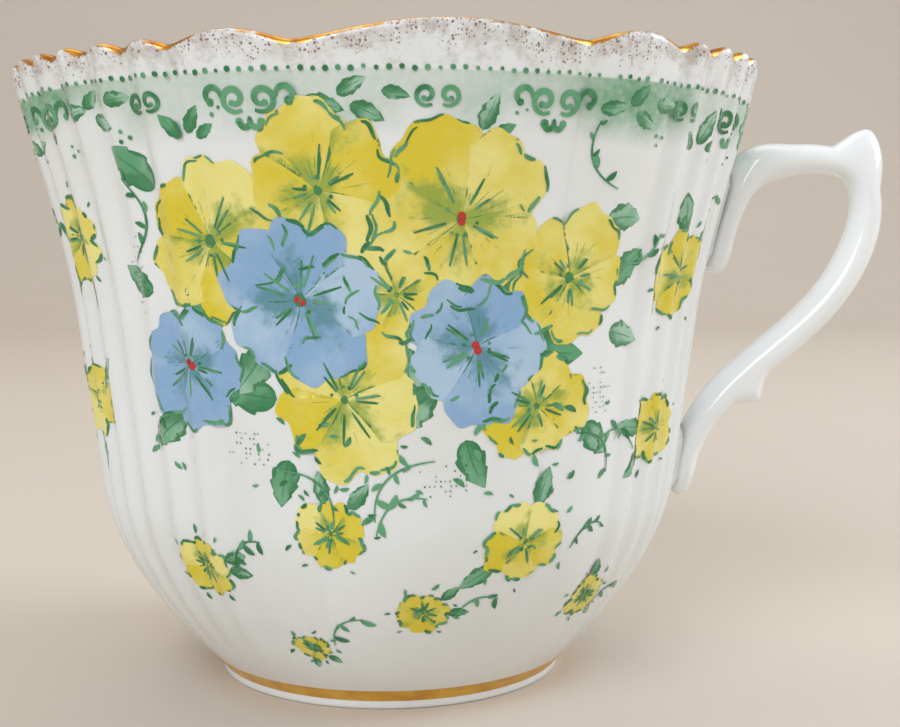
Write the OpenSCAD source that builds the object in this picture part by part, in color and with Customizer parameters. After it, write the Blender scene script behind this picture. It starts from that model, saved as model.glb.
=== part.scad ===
// Fluted porcelain tea cup with a lobed rim, a low foot ring and a scrolled loop handle.
// Millimetres. The origin is on the cup's axis where it stands, +Z is up and +X points to the handle.

/* [Cup body] */
// Height of the rim's low points at the front above the table
cup_h = 67; // [62:0.5:76]
// Outer radius of the wall's line carried up to the rim
rim_r = 42.3; // [40:0.1:46]
// Height where the straight wall ends and the lip starts to flare
neck_z = 42; // [36:0.5:48]
// Outer radius at the neck
neck_r = 35.8; // [34.6:0.2:37.4]
// Height where the bowl ends and the straight wall starts
belly_z = 22; // [19:0.5:26]
// Outer radius at the top of the bowl
belly_r = 33.2; // [31.6:0.2:34.6]
// Outer radius of the underside, where the bowl meets the foot
base_r = 20.4; // [18.6:0.2:22.4]
// Wall thickness below the neck
wall = 2.2; // [1.8:0.1:2.8]
// Thickness of the lip at the rim
lip_t = 1.5; // [1.2:0.1:2]
// Thickness of the bottom
bottom_t = 3.2; // [2.4:0.2:4.4]
// Radius of the flat floor inside
floor_r = 14.5; // [12:0.5:16]

/* [Flutes and lobes] */
// Narrow ribs on each side, between the front and the back panel
ribs_per_side = 14; // [10:1:16]
// Angle of the wide smooth panel, front and back
panel_deg = 38; // [30:1:46]
// Angle of the broad rib on each edge of a panel
flank_deg = 17; // [13:0.5:20]
// Turn of the front panel towards the handle
panel_turn = 7; // [-12:1:12]
// Depth of the flutes at the rim
flute_depth = 0.8; // [0.4:0.1:1.1]
// Height where the flutes run out above the foot
flute_end_z = 5; // [4:0.5:9]
// Height over which the flutes grow to their full depth
flute_run = 12; // [8:1:18]
// How far the rim rises on a panel
panel_rise = 1.6; // [0.6:0.1:2.2]
// How far the rim rises on a broad rib
flank_rise = 1; // [0.4:0.1:1.6]
// How far the rim rises on a narrow rib
rib_rise = 0.5; // [0.2:0.1:0.9]
// How far the rim stands higher on the handle's side and on the far side than at the front
side_rise = 1.3; // [0:0.1:2]
// How far the rim leans up towards the handle
rim_lean = 0.6; // [0:0.1:1.2]

/* [Foot] */
// Height of the foot ring
foot_h = 1.3; // [1:0.1:2.4]
// Width of the foot ring
foot_w = 3; // [2.2:0.2:4.2]
// How far the foot ring stands back from the edge of the underside
foot_inset = 0.4; // [0.2:0.1:1]
// Chamfer on the foot ring's lower edges
foot_chamfer = 0.35; // [0.2:0.05:0.6]

/* [Handle] */
// Drop from the rim's low points at the front to the centre line of the handle's top
handle_drop = 7.8; // [6.5:0.2:11]
// How far the centre line of the handle stands out from the wall
handle_out = 18.8; // [16:0.2:22]
// Height of the tail's end above the table
tail_z = 19.4; // [16:0.2:22]
// Length of the pad that hangs down the wall from the handle's top
pad_drop = 13.2; // [11:0.2:16]
// Thickness of the handle in its own plane, along its free loop
strap_t = 4; // [3.4:0.1:4.6]
// Thickness of the handle where its pad and its tail lie on the wall
seat_t = 3.1; // [2.6:0.1:3.4]
// Width of the handle across its plane
strap_w = 5.6; // [4.6:0.2:7]
// Height of the thumb spur on the upper corner
thumb_spur = 3.4; // [1.5:0.1:4.2]
// Height of the small spur under the lower arm
lower_spur = 1.9; // [0.8:0.1:2.6]

/* [Joints and gilding] */
// Thickness of the slip that joins the handle to the wall
slip_t = 0.4; // [0.3:0.05:0.6]
// Thickness of the slip between the foot ring and the underside
foot_slip_t = 0.2; // [0.15:0.05:0.4]
// Width of the gilding down each side of the lip
rim_gilt_w = 0.8; // [0.4:0.1:1.6]
// Height of the gilt line above the foot
foot_gilt_w = 0.7; // [0.4:0.1:1.2]
// Thickness of the gilding
gilt_t = 0.1; // [0.06:0.01:0.2]
// Gap between a skin and the curved face that it lies on
skin_gap = 0.03; // [0.02:0.01:0.05]

/* [Hidden] */
$fn = 96;
porcelain = "#f3f2ec";
slip_white = "#e4e0d6";
gold = "#c8a02c";

// Shape of the curves: the bowl outside and inside, and the flare of the lip
bowl_power = 1.8;
floor_power = 2.3;
flare_power = 1.6;
// Sharpness of the crests: a low power gives a broad smooth panel, a high one a narrow rib
panel_power = 0.5;
flank_power = 1.2;
rib_power = 2;
// Columns of facets on a panel, on a broad rib and on a narrow rib
panel_cols = 10;
flank_cols = 4;
rib_cols = 4;
// Rows of facets on the outside, over the round of the lip and on the inside
outer_rows = 18;
lip_rows = 4;
inner_rows = 11;
// Rows of the outside stand closer together towards the foot
row_power = 1.2;
// Height at the top of the wall over which the lobes of the rim fade out
lobe_fade = 7;

foot_r = base_r - foot_inset;
base_z = foot_h + foot_slip_t;
floor_z = base_z + bottom_t;
lip_r = lip_t / 2;
lip_z = cup_h - lip_r;
// The gilding ends on a row of the body's own facets
gilt_z = lip_z - rim_gilt_w;
rib_deg = (180 - panel_deg - 2 * flank_deg) / ribs_per_side;

function limit(value) = max(0, min(1, value));

// Straight side of the cup, carried on above the neck and below the belly
function side_r(z) = belly_r + (neck_r - belly_r) * (z - belly_z) / (neck_z - belly_z);

// Outer radius over the crests at height z
function wall_r(z) =
  side_r(z)
  - (side_r(base_z) - base_r) * pow(limit((belly_z - z) / (belly_z - base_z)), bowl_power)
  + (rim_r - side_r(cup_h)) * pow(limit((z - neck_z) / (cup_h - neck_z)), flare_power);

// Wall thickness at height z, thinning from the neck to the lip
function wall_t(z) = wall + (lip_t - wall) * limit((z - neck_z) / (cup_h - neck_z));

// Inner radius behind the crests at height z
function inner_r(z) =
  z > belly_z
    ? wall_r(z) - wall_t(z)
    : side_r(z) - wall
      - (side_r(floor_z) - wall - floor_r) * pow((belly_z - z) / (belly_z - floor_z), floor_power);

// Depth of the flutes at height z, outside and inside
function outer_depth(z) = flute_depth * wall_r(z) / rim_r * limit((z - flute_end_z) / flute_run);
function inner_depth(z) = flute_depth * limit((z - neck_z) / (cup_h - neck_z));

// How far the rim stands above level at an angle from the front, as hand-made cups do
function rim_warp(angle) = side_rise * pow(sin(angle), 2) + rim_lean * sin(angle);

// One column of facets: its angle from the front, and how far its crest stands out and up
function column(start, width, cols, i, power, rise) =
  let (angle = start + width * i / cols)
  let (swell = sin(180 * i / cols))
  [angle, pow(swell, power), rise * swell + rim_warp(angle)];

// Columns of half the cup: a panel between two broad ribs, then the narrow ribs of one side
function half_columns(front) =
  let (panel_start = front - panel_deg / 2)
  let (ribs_start = panel_start + panel_deg + flank_deg)
  [
    for (i = [0:flank_cols - 1])
      column(panel_start - flank_deg, flank_deg, flank_cols, i, flank_power, flank_rise),
    for (i = [0:panel_cols - 1])
      column(panel_start, panel_deg, panel_cols, i, panel_power, panel_rise),
    for (i = [0:flank_cols - 1])
      column(panel_start + panel_deg, flank_deg, flank_cols, i, flank_power, flank_rise),
    for (rib = [0:ribs_per_side - 1])
      for (i = [0:rib_cols - 1])
        column(ribs_start + rib * rib_deg, rib_deg, rib_cols, i, rib_power, rib_rise)
  ];

COLUMNS = concat(half_columns(panel_turn), half_columns(panel_turn + 180));

// A point at radius r and height z, at an angle from the front (-Y) towards the handle (+X)
function around(r, angle, z) = [r * sin(angle), -r * cos(angle), z];

// Height of a row, lifted near the rim where the column's lobe stands up
function lifted(z, col) = z + col[2] * pow(limit((z - cup_h + lobe_fade) / lobe_fade), 2);

// Radius of a column at height z, outside and inside
function column_r(z, col) = wall_r(z) - outer_depth(z) * (1 - col[1]);
function column_inner_r(z, col) = inner_r(z) - inner_depth(z) * (1 - col[1]);

// Rings of points on the outside, round the lip and on the inside, each stood off by a skin
function outer_ring(z, skin) =
  [for (col = COLUMNS) around(column_r(z, col) + skin, col[0], lifted(z, col))];
function inner_ring(z, skin) =
  [for (col = COLUMNS) around(column_inner_r(z, col) - skin, col[0], lifted(z, col))];
function lip_ring(turn, skin) =
  [
    for (col = COLUMNS)
      let (middle = column_r(lip_z, col) - lip_r)
      let (reach = lip_r + skin)
      around(middle + reach * cos(turn), col[0], lip_z + col[2] + reach * sin(turn))
  ];

// The body's rings from the underside up to the lip, and down the inside to the floor
OUTER_Z = [
  for (row = [0:outer_rows]) base_z + (gilt_z - base_z) * pow(row / outer_rows, row_power)
];
outer_rings = [for (z = OUTER_Z) outer_ring(z, 0)];
lip_rings = [for (row = [0:lip_rows]) lip_ring(180 * row / lip_rows, 0)];
inner_rings = [
  for (row = [0:inner_rows])
    inner_ring(gilt_z + (floor_z - gilt_z) * row / inner_rows, 0)
];

// Triangles between rings of equal count; a closed stack joins its last ring to its first
function ring_faces(rings, count, closed) =
  [
    for (row = [0:rings - (closed ? 1 : 2)])
      for (i = [0:count - 1])
        let (next_row = (row + 1) % rings)
        let (next = (i + 1) % count)
        let (a = row * count + i)
        let (b = row * count + next)
        let (c = next_row * count + next)
        let (d = next_row * count + i)
        each [[a, d, c], [a, c, b]]
  ];

// A solid through a stack of rings, with flat ends
module ring_stack(rings) {
  count = len(rings[0]);
  top = (len(rings) - 1) * count;
  first_end = [for (i = [0:count - 1]) i];
  last_end = [for (i = [count - 1:-1:0]) top + i];
  polyhedron(
    points = [for (ring = rings) each ring],
    faces = concat(ring_faces(len(rings), count, false), [first_end, last_end])
  );
}

// A solid through a stack of rings that closes on itself, such as a band round the rim
module ring_loop(rings) {
  polyhedron(
    points = [for (ring = rings) each ring],
    faces = ring_faces(len(rings), len(rings[0]), true)
  );
}

handle_z = cup_h - handle_drop;
seat_out = slip_t + skin_gap + seat_t / 2;
// Shares of the pad's drop at its middle and at its neck, and how far its neck leans out
pad_middle = 0.66;
pad_neck = 0.31;
pad_lean = 0.03;
// Share of the handle's height where its tail reaches the wall
tail_top = 0.155;
// The loop's centre line: how far out from the seat and how far up from the tail, as shares
LOOP = [
  [0.11, 0.97],
  [0.31, 1],
  [0.56, 1],
  [0.80, 0.975],
  [0.955, 0.89],
  [1, 0.78],
  [0.935, 0.655],
  [0.76, 0.54],
  [0.54, 0.45],
  [0.325, 0.365],
  [0.15, 0.28],
  [0, tail_top],
  [0, 0]
];

function handle_point(out, z) = [wall_r(z) + seat_out + out * (handle_out - seat_out), z];

centre = concat(
  [
    handle_point(0, handle_z - pad_drop),
    handle_point(0, handle_z - pad_drop * pad_middle),
    handle_point(pad_lean, handle_z - pad_drop * pad_neck)
  ],
  [for (p = LOOP) handle_point(p[0], tail_z + p[1] * (handle_z - tail_z))]
);

// A smooth curve through the points of the centre line; t counts points
function curve_point(i) = centre[max(0, min(len(centre) - 1, i))];
function curve(t) =
  let (i = min(floor(t), len(centre) - 2))
  let (u = t - i)
  let (p0 = curve_point(i - 1))
  let (p1 = curve_point(i))
  let (p2 = curve_point(i + 1))
  let (p3 = curve_point(i + 2))
  p1 + 0.5 * u * (p2 - p0 + u * (2 * p0 - 5 * p1 + 4 * p2 - p3 + u * (3 * p1 - p0 - 3 * p2 + p3)));

// Places along the centre line, counted in points
curve_end = len(centre) - 1;
thumb_at = 5.85;
lower_spur_at = 12.15;
spur_half = 0.62;
spur_power = 1.3;
tangent_step = 0.05;
steps_per_point = 4;
handle_sides = 16;
end_rounding = 0.6;
end_least = 0.03;

// The handle thickens from its seats to its free loop between these places
pad_leaves = 1.5;
loop_starts = 4;
loop_ends = 12.5;
tail_lands = 14.5;

function loop_share(t) =
  limit(min((t - pad_leaves) / (loop_starts - pad_leaves), (tail_lands - t) / (tail_lands - loop_ends)));
function thickness(t) = seat_t + (strap_t - seat_t) * loop_share(t);
function bump(t, place) = pow(limit(1 - abs(t - place) / spur_half), spur_power);
function spur(t) = thumb_spur * bump(t, thumb_at) + lower_spur * bump(t, lower_spur_at);
function end_scale(t) =
  sqrt(max(end_least, 1 - pow(1 - limit(min(t, curve_end - t) / end_rounding), 2)));

// One section of the handle, kept clear of the wall and its slip
function clear_of_wall(p) =
  let (least = wall_r(p[2]) + slip_t + skin_gap)
  [max(p[0], sqrt(max(0, least * least - p[1] * p[1]))), p[1], p[2]];
function handle_section(t) =
  let (along = curve(min(t + tangent_step, curve_end)) - curve(max(t - tangent_step, 0)))
  let (normal = [-along[1], along[0]] / norm(along))
  let (p = curve(t))
  let (size = end_scale(t))
  [
    for (i = [0:handle_sides - 1])
      let (turn = 360 * i / handle_sides)
      let (half_t = thickness(t) / 2 + (sin(turn) > 0 ? spur(t) : 0))
      let (off = size * half_t * sin(turn))
      clear_of_wall([p[0] + off * normal[0], size * strap_w / 2 * cos(turn), p[1] + off * normal[1]])
  ];

// Radius of the faceted wall: on a column between two rows, and on the facet between two columns
function facet_column_r(z, col) =
  let (i = max([for (k = [0:outer_rows - 1]) if (OUTER_Z[k] <= z) k]))
  let (share = (z - OUTER_Z[i]) / (OUTER_Z[i + 1] - OUTER_Z[i]))
  column_r(OUTER_Z[i], col) * (1 - share) + column_r(OUTER_Z[i + 1], col) * share;
function facet_r(z, angle) =
  let (i = max([for (k = [0:len(COLUMNS) - 2]) if (COLUMNS[k][0] <= angle) k]))
  let (a = COLUMNS[i])
  let (b = COLUMNS[i + 1])
  let (ra = facet_column_r(z, a))
  let (rb = facet_column_r(z, b))
  ra * rb * sin(b[0] - a[0]) / (ra * sin(angle - a[0]) + rb * sin(b[0] - angle));

// Slip between a stretch of the wall and the back of the handle, filling the flutes behind it
slip_steps = 3;
slip_share = 0.85;
handle_angle = 90;
function slip_angles(z) =
  let (half = asin((strap_w / 2 - skin_gap) / wall_r(z)) * slip_share)
  let (between = [for (col = COLUMNS) if (abs(col[0] - handle_angle) < half) col[0]])
  concat([handle_angle - half], between, [handle_angle + half]);
function slip_section(z, angles) =
  concat(
    [for (angle = angles) around(wall_r(z) + slip_t, angle, z)],
    [for (i = [len(angles) - 1:-1:0]) around(facet_r(z, angles[i]) + skin_gap, angles[i], z)]
  );
// Heights of a patch's sections, a few between each two rows of the wall that it lies on
function slip_heights(low, high) =
  let (rows = concat([low], [for (z = OUTER_Z) if (z > low + slip_t && z < high - slip_t) z], [high]))
  [
    for (i = [0:len(rows) - 2])
      for (step = [0:slip_steps - 1])
        rows[i] + (rows[i + 1] - rows[i]) * step / slip_steps,
    high
  ];
module slip_patch(low, high) {
  angles = slip_angles((low + high) / 2);
  ring_stack([for (z = slip_heights(low, high)) slip_section(z, angles)]);
}

module cup_body() {
  color(porcelain) ring_stack(concat(outer_rings, lip_rings, inner_rings));
}

module foot_ring() {
  color(porcelain) rotate_extrude() polygon([
    [foot_r - foot_w, foot_chamfer],
    [foot_r - foot_w + foot_chamfer, 0],
    [foot_r - foot_chamfer, 0],
    [foot_r, foot_chamfer],
    [foot_r, foot_h],
    [foot_r - foot_w, foot_h]
  ]);
}

module foot_slip_joint() {
  color(slip_white) translate([0, 0, foot_h]) rotate_extrude()
    translate([foot_r - foot_w + foot_chamfer, 0]) square([foot_w - 2 * foot_chamfer, foot_slip_t]);
}

module handle() {
  color(porcelain) ring_stack([
    for (step = [0:curve_end * steps_per_point]) handle_section(step / steps_per_point)
  ]);
}

module upper_slip_joint() {
  color(slip_white) slip_patch(handle_z - pad_drop + seat_t / 2, handle_z - strap_t / 2);
}

module lower_slip_joint() {
  color(slip_white) slip_patch(tail_z + seat_t / 2, tail_z + tail_top * (handle_z - tail_z));
}

module rim_gilding() {
  near = skin_gap;
  far = skin_gap + gilt_t;
  turns = [for (row = [0:lip_rows]) 180 * row / lip_rows];
  color(gold) ring_loop(concat(
    [outer_ring(gilt_z, far)],
    [for (turn = turns) lip_ring(turn, far)],
    [inner_ring(gilt_z, far), inner_ring(gilt_z, near)],
    [for (i = [lip_rows:-1:0]) lip_ring(turns[i], near)],
    [outer_ring(gilt_z, near)]
  ));
}

module foot_gilding() {
  low = base_z + skin_gap;
  high = base_z + foot_gilt_w;
  color(gold) rotate_extrude() polygon([
    [wall_r(low) + skin_gap, low],
    [wall_r(low) + skin_gap + gilt_t, low],
    [wall_r(high) + skin_gap + gilt_t, high],
    [wall_r(high) + skin_gap, high]
  ]);
}

cup_body();
foot_ring();
foot_slip_joint();
handle();
upper_slip_joint();
lower_slip_joint();
rim_gilding();
foot_gilding();
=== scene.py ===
"""Looks of a fluted porcelain tea cup: glazed pieces, worn gilding and enamelled flower sprays.

Every piece is built in metres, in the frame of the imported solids, and rides on their one body.
"""

import logging
import math
import random
from collections.abc import Callable, Iterable
from dataclasses import dataclass, field
from enum import Enum
from functools import cached_property

import bmesh
import bpy
from mathutils import Matrix, Vector


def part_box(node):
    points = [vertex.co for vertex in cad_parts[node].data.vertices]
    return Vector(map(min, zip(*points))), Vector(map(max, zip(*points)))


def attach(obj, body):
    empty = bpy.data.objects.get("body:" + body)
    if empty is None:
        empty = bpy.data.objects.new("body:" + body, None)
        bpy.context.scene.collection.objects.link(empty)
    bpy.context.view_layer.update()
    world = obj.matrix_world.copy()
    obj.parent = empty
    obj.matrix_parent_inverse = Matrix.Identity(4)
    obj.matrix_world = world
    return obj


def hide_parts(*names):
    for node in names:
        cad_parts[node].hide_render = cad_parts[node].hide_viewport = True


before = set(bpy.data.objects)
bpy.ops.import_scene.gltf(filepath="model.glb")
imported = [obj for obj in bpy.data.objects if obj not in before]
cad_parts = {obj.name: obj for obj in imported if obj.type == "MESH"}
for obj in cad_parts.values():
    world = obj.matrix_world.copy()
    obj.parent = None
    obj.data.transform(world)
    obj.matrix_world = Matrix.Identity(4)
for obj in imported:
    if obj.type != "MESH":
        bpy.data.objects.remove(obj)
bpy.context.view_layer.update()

MM = 0.001
FULL_TURN = 360.0
HALF_TURN = 180.0
BODY = "root"
SHARP = math.radians(60.0)
MERGE_GAP = 0.001 * MM
LOG = logging.getLogger("tea_cup")

Colour = tuple[float, float, float, float]
Point = tuple[float, float]
Place = tuple[float, float, float]
Span = tuple[float, float]
Row = tuple[float, float, float, float]
Path = Callable[[float], Point]
Shape = Callable[[float, float], Point]
Value = bpy.types.NodeSocket | float | Colour


def paint(red: int, green: int, blue: int) -> Colour:
    """Turns a colour as it is seen, from 0 to 255, into the linear one that shaders use.

    Args:
        red: Red part.
        green: Green part.
        blue: Blue part.

    Returns:
        The linear colour, opaque.
    """
    shares = [part / 255 for part in (red, green, blue)]
    linear = [s / 12.92 if s <= 0.04045 else ((s + 0.055) / 1.055) ** 2.4 for s in shares]
    return (*linear, 1.0)


def limit(value: float) -> float:
    """Keeps a value between 0 and 1."""
    return max(0.0, min(1.0, value))


def ease(value: float) -> float:
    """Turns a straight run from 0 to 1 into a smooth one."""
    held = limit(value)
    return held * held * (3 - 2 * held)


def rounded(value: float, rounding: float) -> float:
    """Lets a value from 0 to 1 start softly, as the bottom of a notch does."""
    return (math.hypot(value, rounding) - rounding) / (math.hypot(1.0, rounding) - rounding)


def off_nearest(angle: float, every: float) -> float:
    """Finds how many degrees an angle is off the nearest of marks that lie evenly round the cup."""
    return abs((angle + every / 2) % every - every / 2)


def bezier(start: Point, bend: Point, end: Point) -> Path:
    """Makes a path that runs from one point to another, drawn towards a third.

    Args:
        start: First point.
        bend: Point that it is drawn towards.
        end: Last point.

    Returns:
        The path.
    """
    def path(t: float) -> Point:
        """Finds the point at a share of the path."""
        a, b, c = (1 - t) ** 2, 2 * t * (1 - t), t * t
        return (a * start[0] + b * bend[0] + c * end[0], a * start[1] + b * bend[1] + c * end[1])

    return path


@dataclass(frozen=True)
class FlutedWall:
    """Lines of the fluted wall: an unfluted half-section, and the crests that go round it."""

    height: float = 67.0 * MM
    rim_r: float = 42.3 * MM
    neck_z: float = 42.0 * MM
    neck_r: float = 35.8 * MM
    belly_z: float = 22.0 * MM
    belly_r: float = 33.2 * MM
    base_z: float = 1.5 * MM
    base_r: float = 20.4 * MM
    wall: float = 2.2 * MM
    lip: float = 1.3 * MM
    floor_z: float = 4.7 * MM
    floor_r: float = 14.5 * MM
    bowl_power: float = 1.8
    floor_power: float = 2.3
    flare_power: float = 1.6
    ribs_per_side: int = 14
    panel_deg: float = 38.0
    flank_deg: float = 17.0
    panel_turn: float = 7.0
    flute_depth: float = 0.8 * MM
    flute_end: float = 5.0 * MM
    flute_run: float = 12.0 * MM
    panel_rise: float = 1.6 * MM
    flank_rise: float = 1.0 * MM
    rib_rise: float = 0.5 * MM
    side_rise: float = 1.3 * MM
    rim_lean: float = 0.6 * MM
    panel_power: float = 0.5
    flank_power: float = 1.2
    rib_power: float = 2.4
    lobe_fade: float = 7.0 * MM
    notch_rounding: float = 0.25
    rubbed_and_shaded_band: float = 3.0 * MM
    line_z: float = 64.4 * MM
    pool: float = 0.35
    pool_reach: float = 3.0
    lip_probe: float = 1.0 * MM
    slope_step: float = 0.5 * MM

    @cached_property
    def lip_lean(self) -> float:
        """Lean of the wall at the rim, in radians from upright."""
        return self.slope(self.height - self.lip_probe)

    @cached_property
    def lip_r(self) -> float:
        """Radius of the round lip."""
        return self.lip / 2 * math.cos(self.lip_lean)

    @cached_property
    def lip_z(self) -> float:
        """Height of the middle of the round lip."""
        return self.height - self.lip_r

    def lip_arc(self, rows: int, skin: float = 0.0) -> list[Point]:
        """Works out the round lip, which runs on smoothly from the leaning wall.

        Args:
            rows: Steps round the lip.
            skin: How far the points stand off the glaze.

        Returns:
            Radius and height of each point, from the outside to the inside.
        """
        start_z = self.lip_z - self.lip_r * math.sin(self.lip_lean)
        middle = self.outer_r(start_z) - self.lip_r * math.cos(self.lip_lean)
        reach = self.lip_r + skin
        turns = [math.pi * row / rows - self.lip_lean for row in range(rows + 1)]
        return [(middle + reach * math.cos(turn), self.lip_z + reach * math.sin(turn)) for turn in turns]

    def side_r(self, z: float) -> float:
        """Radius of the straight side, carried on above and below."""
        return self.belly_r + (self.neck_r - self.belly_r) * (z - self.belly_z) / (self.neck_z - self.belly_z)

    def above_neck(self, z: float) -> float:
        """Share of the way from the neck up to the rim."""
        return limit((z - self.neck_z) / (self.height - self.neck_z))

    def outer_r(self, z: float) -> float:
        """Outer radius over the crests at a height.

        Args:
            z: Height on the plain turned cup.

        Returns:
            The radius.
        """
        bowl = limit((self.belly_z - z) / (self.belly_z - self.base_z)) ** self.bowl_power
        flare = self.above_neck(z) ** self.flare_power
        drawn_in = (self.side_r(self.base_z) - self.base_r) * bowl
        return self.side_r(z) - drawn_in + (self.rim_r - self.side_r(self.height)) * flare

    def thickness(self, z: float) -> float:
        """Thickness of the wall at a height."""
        return self.wall + (self.lip - self.wall) * self.above_neck(z)

    def inner_r(self, z: float) -> float:
        """Inner radius behind the crests at a height.

        Args:
            z: Height on the plain turned cup.

        Returns:
            The radius.
        """
        if z > self.belly_z:
            return self.outer_r(z) - self.thickness(z)
        share = limit((self.belly_z - z) / (self.belly_z - self.floor_z))
        drawn_in = self.side_r(self.floor_z) - self.wall - self.floor_r
        return self.side_r(z) - self.wall - drawn_in * share**self.floor_power

    def slope(self, z: float) -> float:
        """Lean of the outside at a height, in radians from upright."""
        step = self.slope_step
        return math.atan2(self.outer_r(z + step) - self.outer_r(z - step), 2 * step)

    def warp(self, angle: float) -> float:
        """How far the hand-made rim stands above level at an angle, in degrees from the front."""
        side = math.sin(math.radians(angle))
        return self.side_rise * side * side + self.rim_lean * side

    def crest(self, angle: float) -> Point:
        """Finds how far the wall stands out and how far the rim stands up at an angle.

        Args:
            angle: Degrees from the front towards the handle.

        Returns:
            The share of the flutes' depth, 0 in a groove and 1 on a crest, and the rim's rise.
        """
        ribs_deg = HALF_TURN - self.panel_deg - 2 * self.flank_deg
        at = (angle - self.panel_turn + self.panel_deg / 2 + self.flank_deg) % HALF_TURN
        cells = (
            (self.flank_deg, 1, self.flank_power, self.flank_rise),
            (self.panel_deg, 1, self.panel_power, self.panel_rise),
            (self.flank_deg, 1, self.flank_power, self.flank_rise),
            (ribs_deg, self.ribs_per_side, self.rib_power, self.rib_rise),
        )
        for width, count, power, rise in cells:
            if at < width:
                swell = abs(math.sin(math.pi * at * count / width))
                return swell**power, rise * rounded(swell, self.notch_rounding) + self.warp(angle)
            at -= width
        return 0.0, self.warp(angle)

    def is_outside(self, r: float, z: float) -> bool:
        """Tells whether a point of the unfluted half-section is on the outside."""
        return r > self.outer_r(z) - self.thickness(z) / 2

    def depth_at(self, r: float, z: float) -> float:
        """Depth of the flutes at a point of the unfluted half-section, outside or inside.

        Args:
            r: Radius of the point.
            z: Height of the point.

        Returns:
            The depth from crest to groove.
        """
        if self.is_outside(r, z):
            run_in = limit((z - self.flute_end) / self.flute_run)
            return self.flute_depth * self.outer_r(z) / self.rim_r * run_in
        return self.flute_depth * self.above_neck(z)

    def near_rim(self, z: float) -> float:
        """Share of the rubbing and painted shade round the rim that a height of the plain turned cup takes
        on.
        """
        return limit(1 - (self.lip_z - z) / self.rubbed_and_shaded_band)

    def lobe_share(self, z: float) -> float:
        """Share of the rim's rise that a height takes on."""
        return limit((z - self.lip_z + self.lobe_fade) / self.lobe_fade) ** 2

    def before_lift(self, z: float, rise: float) -> float:
        """Height on the plain turned cup of a point that the rim's rise lifts to a height.

        Args:
            z: Height after the lift.
            rise: How far the rim is lifted at the point's angle.

        Returns:
            The height before the lift.
        """
        start = self.lip_z - self.lobe_fade
        above = max(0.0, z - start)
        root = math.sqrt(self.lobe_fade**2 + 4 * rise * above)
        return min(z, start) + 2 * above * self.lobe_fade / (self.lobe_fade + root)

    def fluted(self, place: Vector) -> tuple[Vector, float]:
        """Moves a point of the unfluted cup to the fluted one.

        Args:
            place: The point on the plain turned cup.

        Returns:
            The moved point, and the share of the crest there.
        """
        r = math.hypot(place.x, place.y)
        angle = math.degrees(math.atan2(place.x, -place.y))
        out, rise = self.crest(angle)
        moved = r - self.depth_at(r, place.z) * (1 - out)
        scale = moved / r if r > 0 else 1.0
        lift = rise * self.lobe_share(place.z)
        return Vector((place.x * scale, place.y * scale, place.z + lift)), out

    def pooled(self, angle: float) -> float:
        """Share of the panels' and flanks' grooves that fired colour fills at an angle.

        Args:
            angle: Degrees from the front towards the handle.

        Returns:
            The share, 0 away from those grooves.
        """
        at = off_nearest(angle - self.panel_turn, HALF_TURN)
        away = min(abs(at - self.panel_deg / 2), abs(at - self.panel_deg / 2 - self.flank_deg))
        return self.pool * ease(1 - away / self.pool_reach)

    def point(self, angle: float, z: float, skin: float, filled: float = 0.0) -> Vector:
        """Finds a point on the outside.

        Args:
            angle: Degrees from the front towards the handle.
            z: Height above the table.
            skin: How far the point stands off the glaze.
            filled: Share of a groove that is filled there.

        Returns:
            The point, in the frame's axes.
        """
        out, rise = self.crest(angle)
        out = math.hypot(out, filled) / math.hypot(1.0, filled)
        plain = self.before_lift(z, rise)
        outer = self.outer_r(plain)
        r = outer - self.depth_at(outer, plain) * (1 - out) + skin
        turn = math.radians(angle)
        return Vector((r * math.sin(turn), -r * math.cos(turn), z))


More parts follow.
